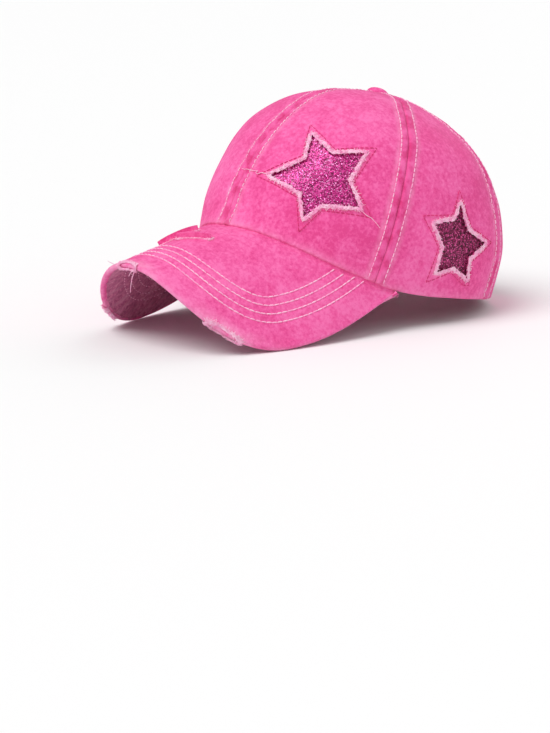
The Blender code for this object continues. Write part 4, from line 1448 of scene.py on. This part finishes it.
@dataclass
class Peak:
    """The arched peak: its cover rolled over the edge, the board's cloth in it, and the cloth under it.

    Rows are distances from the free edge. Each slit is its two ends' x and y. Yarns are pairs of a distance
    outside the cut edge and a radius.
    """

    roll: float = 0.0017
    cover_cloth: float = 0.0007
    top_share: float = 0.80
    roll_share: float = 0.95
    flap: float = 0.0014
    tuck: float = 0.0016
    seat: float = 0.0010
    past_end: float = 1.012
    start: float = 0.004
    edge_fore: float = 0.985
    core_cloth: float = 0.0006
    core_depth: float = 0.0009
    under_cloth: float = 0.0006
    under_depth: float = 0.0030
    under_inset: float = 0.0022
    pleat: float = 0.0013
    sunk: float = 0.00032
    sunk_reach: float = 0.0009
    rows: tuple[float, ...] = (0.0170, 0.0225, 0.0280, 0.0335)
    slits: tuple[tuple[float, ...], ...] = ((-0.027, -0.1516, -0.0063, -0.1395), (-0.0072, -0.1551, 0.0131, -0.1456))
    slit_half: float = 0.0011
    slit_yarns: tuple[tuple[float, float], ...] = ((0.0019, 0.00042), (0.0010, 0.00060), (0.0002, 0.00050))
    slit_fibre: float = 0.0024
    spot_yarns: tuple[tuple[float, float], ...] = ((0.0009, 0.00034), (0.0002, 0.00044))
    fray_wander: float = 0.0005
    spots: tuple[WornSpot, ...] = (
        WornSpot(0.0, 0.0095, 0.0021, 0.0018),
        WornSpot(-0.49, 0.0080, 0.0022, 0.0038),
        WornSpot(0.46, 0.0110, 0.0023, 0.0034),
    )
    loose: tuple[LooseEnd, ...] = (
        LooseEnd(-1.0, 0.011, (-0.15, 0.55, 0.75)),
        LooseEnd(1.0, 0.014, (0.05, -0.9, 0.45)),
        LooseEnd(1.0, 0.006, (0.5, -0.6, 0.5)),
    )

    def __post_init__(self) -> None:
        """Places the free edge."""
        self.edge = FORM.peak_top(np.linspace(-1.0, 1.0, 320), np.ones(320))

    def along_rows(self, inset: Array) -> Array:
        """1 at each row of stitches and 0 between, for distances from the free edge."""
        return sum(bump_at(inset, row, self.sunk_reach) for row in self.rows)

    def relief(self, points: Array) -> Array:
        """How the cover stands out of the plain peak: sunk along its rows of stitches and softly uneven."""
        inset = nearest(points, self.edge)
        sunk = self.along_rows(inset)
        between = smooth((inset - 0.013) / 0.004) * smooth((0.038 - inset) / 0.004)
        quilted = 0.00012 * waves(points, 0.0038, 3.0) * between
        soft = 0.0005 * waves(points, 0.030, 8.0) * smooth(inset / 0.02)
        return soft + quilted - self.sunk * sunk

    def wrap(self, depth: float) -> Surface:
        """The surface that covers the top, rolls over the free edge and ends under it.

        Args:
            depth: How far it lies inside the cover's outer face.

        Returns:
            The surface.
        """

        def place(u: Array, v: Array) -> Array:
            across = self.past_end * (2.0 * u - 1.0)
            span = FORM.peak_span(across)
            roll = np.minimum(self.roll, 0.22 * span)
            first, last = -np.minimum(self.tuck / span, 0.3), 1.0 - roll / span
            fore = first + (last - first) * np.minimum(v / self.top_share, 1.0)
            points, out, ahead = FORM.peak_frame(across, fore)
            turn = np.pi * np.clip((v - self.top_share) / (self.roll_share - self.top_share), 0.0, 1.0)
            radius = np.where(turn > 0.0, np.maximum(roll - depth, 0.1 * roll), 0.0)[:, None]
            centre = points - out * roll[:, None]
            rolled = centre + radius * (out * np.cos(turn)[:, None] + ahead * np.sin(turn)[:, None])
            back = self.flap * np.clip((v - self.roll_share) / (1.0 - self.roll_share), 0.0, 1.0)
            rolled = rolled - ahead * np.minimum(back, 0.2 * span)[:, None]
            seat = self.seat * bump_at(fore * span, 0.0, 0.0015)
            flat = points + out * (self.relief(points) - seat - depth)[:, None]
            return np.where((turn > 0.0)[:, None], rolled, flat)

        return place

    def make_cover(self) -> None:
        """The cover with its slits and worn spots cut through, and the cloth inside it, painted deeper pink as the
        shade seen through them.
        """

        def worn(u: Array, v: Array) -> Array:
            edge = 0.75 * bump_at(v, 0.5 * (self.top_share + self.roll_share), 0.055)
            spots = sum(bump_at(2.0 * u - 1.0, spot.across, 0.12) for spot in self.spots) * smooth((v - 0.70) / 0.1)
            return np.clip(edge + spots, 0.0, 1.0)

        marks = {"worn": worn}
        size = (0.24, 0.085)
        cover = lay_cloth("peak_cover", (210, 76), self.wrap(0.0), size, self.cover_cloth, marks, flip=True)
        for cutter in [self.slit_prism(*slit) for slit in self.slits] + [self.spot_ball(spot) for spot in self.spots]:
            cut(cover, cutter)
        dress(cover, "cotton", Slot.COTTON, "peak_upper")
        core = lay_cloth("peak_core", (150, 60), self.wrap(self.core_depth), size, self.core_cloth, flip=True)
        # The core's deeper pink is painted shade for the gaps in the cover.
        dress(core, "board", Slot.COTTON)

    def slit_line(self, x0: float, y0: float, x1: float, y1: float) -> Array:
        """The outline of a slit in plan, a long thin leaf with ragged sides."""
        turn = np.linspace(0.0, 2.0 * np.pi, 71)[:-1]
        along = np.array((x1 - x0, y1 - y0))
        side = np.array((-along[1], along[0])) / np.linalg.norm(along)
        middle = np.array((x0, y0)) + along * (0.5 - 0.5 * np.cos(turn))[:, None]
        ragged = 1.0 + 0.35 * waves(np.c_[middle, turn], 0.0020, 3.0)
        return middle + side * (self.slit_half * np.sin(turn) * ragged)[:, None]

    def on_top(self, plan: Array, lift: Array | float) -> Array:
        """Places given by x and y at a height over the peak's upper face."""
        points, out, _ = FORM.peak_frame(*FORM.peak_at(plan))
        return points + out * np.broadcast_to(lift, len(plan))[:, None]

    def slit_prism(self, *ends: float) -> bpy.types.Object:
        """A cutter round a slit."""
        line = self.slit_line(*ends)
        return swept("cutter", np.array([self.on_top(line, lift) for lift in (0.004, -0.004)]))

    def edge_frame(self, across: float) -> tuple[Array, Array, Array, Array]:
        """Middle of the edge's roll with the directions along it, out of the top and forward."""
        place = np.array([across])
        point, out, ahead = FORM.peak_frame(place, np.array([self.edge_fore]))
        return point[0] - out[0] * self.roll, np.cross(ahead[0], out[0]), out[0], ahead[0]

    def spot_ball(self, spot: WornSpot) -> bpy.types.Object:
        """A long, ragged egg that cuts a worn spot."""
        centre, along, out, ahead = self.edge_frame(spot.across)
        facing = unit(ahead + 0.35 * out)
        egg = bmesh.new()
        bmesh.ops.create_icosphere(egg, subdivisions=4, radius=1.0)
        for vertex in egg.verts:
            x, y, z = vertex.co
            grow = 1.0 + 0.25 * noise.noise(vertex.co * 3.0)
            upright = np.cross(facing, along)
            offset = along * x * spot.length + facing * (self.roll + 0.0012 * y) + upright * z * spot.height
            vertex.co = FORM.stand(centre + offset * grow)
        return as_object("cutter", egg)

    def row_line(self, inset: float) -> tuple[Array, Array]:
        """Across and fore of a row that keeps a distance from the free edge."""
        across = np.linspace(-0.985, 0.985, 420)
        far = lambda fore: inset - nearest(FORM.peak_top(across, fore), self.edge)
        low = np.full_like(across, 0.002)
        fore = solve(far, low, np.ones_like(across))
        kept = far(low) < 0.0
        return across[kept], fore[kept]

    def make_stitches(self) -> None:
        """Four rows of stitches round the peak, which also show under it."""
        top, under = Threads("peak_topstitching"), Threads("under_peak_stitching")
        for inset in self.rows:
            points, out, _ = FORM.peak_frame(*self.row_line(inset))
            top.sew(points + out * self.relief(points)[:, None], out, stitch=0.0034, pitch=0.0036, radius=0.00044)
            below = points - out * (self.under_depth + 0.0001)
            under.sew(below, -out, stitch=0.0012, pitch=0.0036, radius=0.00030)
        top.finish("topstitch")
        under.finish("topstitch")

    def make_under(self) -> None:
        """The cloth under the peak, drawn into small pleats by the edge."""

        def fan(u: Array, inset: Array) -> Array:
            ridges = waves(np.c_[76.0 * u, 0.03 * inset / 0.0045, 0.0 * u], 1.0, 4.0)
            return ridges * smooth((0.0185 - inset) / 0.009)

        def inset_at(u: Array, v: Array) -> Array:
            return nearest(FORM.peak_top(2.0 * u - 1.0, v), self.edge)

        def place(u: Array, v: Array) -> Array:
            across = self.past_end * (2.0 * u - 1.0)
            last = 1.0 - np.minimum(self.under_inset / FORM.peak_span(across), 0.5)
            points, out, _ = FORM.peak_frame(across, self.start + (last - self.start) * v)
            inset = nearest(points, self.edge)
            drawn = self.pleat * fan(u, inset) + 0.0003 * self.along_rows(inset)
            return points - out * (self.under_depth + 0.0002 - drawn)[:, None]

        marks = {"worn": lambda u, v: np.clip(1.6 * fan(u, inset_at(u, v)), 0.0, 1.0)}
        cloth = lay_cloth("under_peak_cloth", (300, 60), place, (0.24, 0.075), self.under_cloth, marks)
        # Its mauve finish is partly painted shade under the peak.
        dress(cloth, "under", Slot.INSIDE, "peak_lower")

    def round_edge(self, across: float, flat: Array, lift: Array | float) -> Array:
        """Places on the edge's roll, given along it and up round it from its front, at a height over it."""
        spread = self.edge_frame(across + 0.01)[0] - self.edge_frame(across - 0.01)[0]
        places = across + flat[:, 0] * 0.02 / np.linalg.norm(spread)
        points, out, ahead = FORM.peak_frame(places, np.full(len(flat), self.edge_fore))
        turn = 0.5 * np.pi - flat[:, 1] / self.roll
        lift = np.broadcast_to(lift, len(flat))[:, None]
        bent = np.clip(turn, 0.0, np.pi)[:, None]
        rolled = points - out * self.roll + (self.roll + lift) * (out * np.cos(bent) + ahead * np.sin(bent))
        return rolled + ahead * np.minimum(turn, 0.0)[:, None] * self.roll

    def make_fray(self) -> None:
        """Yarn ends round the slits and the worn spots, with a few long loose threads."""
        threads = Threads("peak_fray", sides=1)
        chance = np.random.default_rng(3)
        fray = Fray(threads, self.on_top, chance, self.slit_yarns, self.fray_wander)
        for slit in self.slits:
            line = self.slit_line(*slit)
            out = -StarPlace.outward(line)
            fray.yarns_along(line, out)
            fray.fibres(line, out, self.slit_fibre, rounds=4)
        turn = np.linspace(0.0, 2.0 * np.pi, 91)[:-1]
        for spot in self.spots:
            lay = lambda flat, lift, across=spot.across: self.round_edge(across, flat, lift)
            fray = Fray(threads, lay, chance, self.spot_yarns, self.fray_wander)
            shape = np.stack((np.cos(turn), np.sin(turn)), axis=-1)
            size = (spot.length, spot.height)
            line, out = shape * size + (0.0, 0.0004), unit(shape / size)
            fray.yarns_along(line, out)
            fray.fibres(line, out, spot.longest, rounds=3)
        self.loose_ends(threads)
        threads.finish("fray")

    def edge_at(self, across: float, shift: float) -> Array:
        """The front of the edge's roll, a distance along from a place on it."""
        return self.round_edge(across, np.array([[shift, 0.0]]), 0.0)[0]

    def loose_ends(self, threads: Threads) -> None:
        """Long threads that stick out of the worn spot in the middle of the edge."""
        _, along, out, ahead = self.edge_frame(self.spots[0].across)
        share = np.linspace(0.0, 1.0, 9)
        for loose in self.loose:
            start = self.edge_at(self.spots[0].across, loose.end * self.spots[0].length)
            direction = unit(along * loose.way[0] + out * loose.way[1] + ahead * loose.way[2])
            bow = along * 0.0012 * np.sin(np.pi * share)[:, None]
            threads.add(start + np.outer(share, direction * loose.reach) + bow, np.linspace(0.00026, 0.00014, 9))


@dataclass(frozen=True)
class SoftSun:
    """A distant soft light, with the way to it and its spread in degrees."""

    name: str
    azimuth: float
    height: float
    strength: float
    spread: float


@dataclass(frozen=True)
class Studio:
    """The pale floor, the soft light and the camera of the photograph's main view."""

    azimuth: float = math.radians(47.474)
    elevation: float = math.radians(12.7424)
    roll: float = math.radians(-1.1366)
    camera_place: tuple[float, float, float] = (0.76920, -0.73321, 0.20616)
    lens: float = 81.397
    floor_tone: Colour = (0.93, 0.93, 0.93)
    sky: float = 0.47
    suns: tuple[SoftSun, ...] = (
        SoftSun("key", -5.0, 58.0, 1.86, 40.0),
        SoftSun("fill", 95.0, 30.0, 0.25, 80.0),
        SoftSun("back", 185.0, 20.0, 0.55, 80.0),
    )

    def make_floor(self) -> None:
        """A wide floor, nearly white."""
        floor = bmesh.new()
        bmesh.ops.create_grid(floor, x_segments=1, y_segments=1, size=400.0)
        obj = as_object("studio_floor", floor)
        draft = Draft("studio_floor")
        obj.data.materials.append(draft.shade(Base_Color=self.floor_tone, Roughness=0.9, Specular_IOR_Level=0.1))

    def make_light(self) -> None:
        """An even white sky with a soft key from the front and weaker lights from the side and the back."""
        world = bpy.data.worlds.new("studio")
        bpy.context.scene.world = world
        world.use_nodes = True
        sky = world.node_tree.nodes["Background"].inputs
        sky["Color"].default_value = (1.0, 1.0, 1.0, 1.0)
        sky["Strength"].default_value = self.sky
        for sun in self.suns:
            light = bpy.data.lights.new(sun.name, "SUN")
            light.energy = sun.strength
            light.angle = math.radians(sun.spread)
            back = self.backward(math.radians(sun.azimuth), math.radians(sun.height))
            link(sun.name, light).rotation_euler = Vector(back).to_track_quat("Z", "Y").to_euler()

    @staticmethod
    def backward(azimuth: float, elevation: float) -> tuple[float, float, float]:
        """Direction towards a viewer at an azimuth and elevation."""
        flat = math.cos(elevation)
        return (math.sin(azimuth) * flat, -math.cos(azimuth) * flat, math.sin(elevation))

    def make_camera(self) -> None:
        """The camera, turned so that the cap stands where the photograph has it."""
        data = bpy.data.cameras.new("camera")
        data.lens = self.lens
        data.sensor_width = 36.0
        data.clip_end = 1000.0
        camera = link("camera", data)
        back = Vector(self.backward(self.azimuth, self.elevation))
        right = Vector((math.cos(self.azimuth), math.sin(self.azimuth), 0.0))
        turned = Matrix((right, back.cross(right), back)).transposed() @ Matrix.Rotation(self.roll, 3, "Z")
        camera.matrix_world = Matrix.Translation(self.camera_place) @ turned.to_4x4()
        bpy.context.scene.camera = camera

    def make(self) -> None:
        """The whole studio, shown in plain colours."""
        self.make_floor()
        self.make_light()
        self.make_camera()
        bpy.context.scene.view_settings.view_transform = "Standard"


FRONT_LOOSE = (
    ((11.5, 0.223), (8.9, 0.225), (7.2, 0.216), (6.1, 0.223), (7.2, 0.229), (3.8, 0.227), (-1.3, 0.229)),
    ((47.4, 0.206), (49.3, 0.197), (51.1, 0.194), (53.1, 0.184), (54.8, 0.173)),
)


def main() -> None:
    """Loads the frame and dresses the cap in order."""
    logging.basicConfig(level=logging.INFO, format="%(name)s: %(message)s", stream=sys.stdout)
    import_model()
    cloth = CrownCloth()
    crown = Crown(cloth)
    crown.make_panels()
    crown.make_topstitching()
    crown.make_tapes()
    crown.make_sweatband()
    crown.make_button()
    for star, shade, loose in zip(STARS, Shade, (FRONT_LOOSE, ())):
        opening = StarCut(star, cloth, shade, loose)
        opening.make_patch()
        opening.make_fray()
        opening.make_stitches()
    back = BackOpening()
    back.make_binding("arch_binding_tape", "arch_binding", BACK.arch(), row=0.0068, tucked=False)
    back.make_binding("ponytail_binding_tape", "ponytail_binding", BACK.tear(), row=0.0056, tucked=True)
    back.make_straps()
    peak = Peak()
    peak.make_cover()
    peak.make_under()
    peak.make_stitches()
    peak.make_fray()
    Studio().make()


if __name__ == "__main__":
    main()
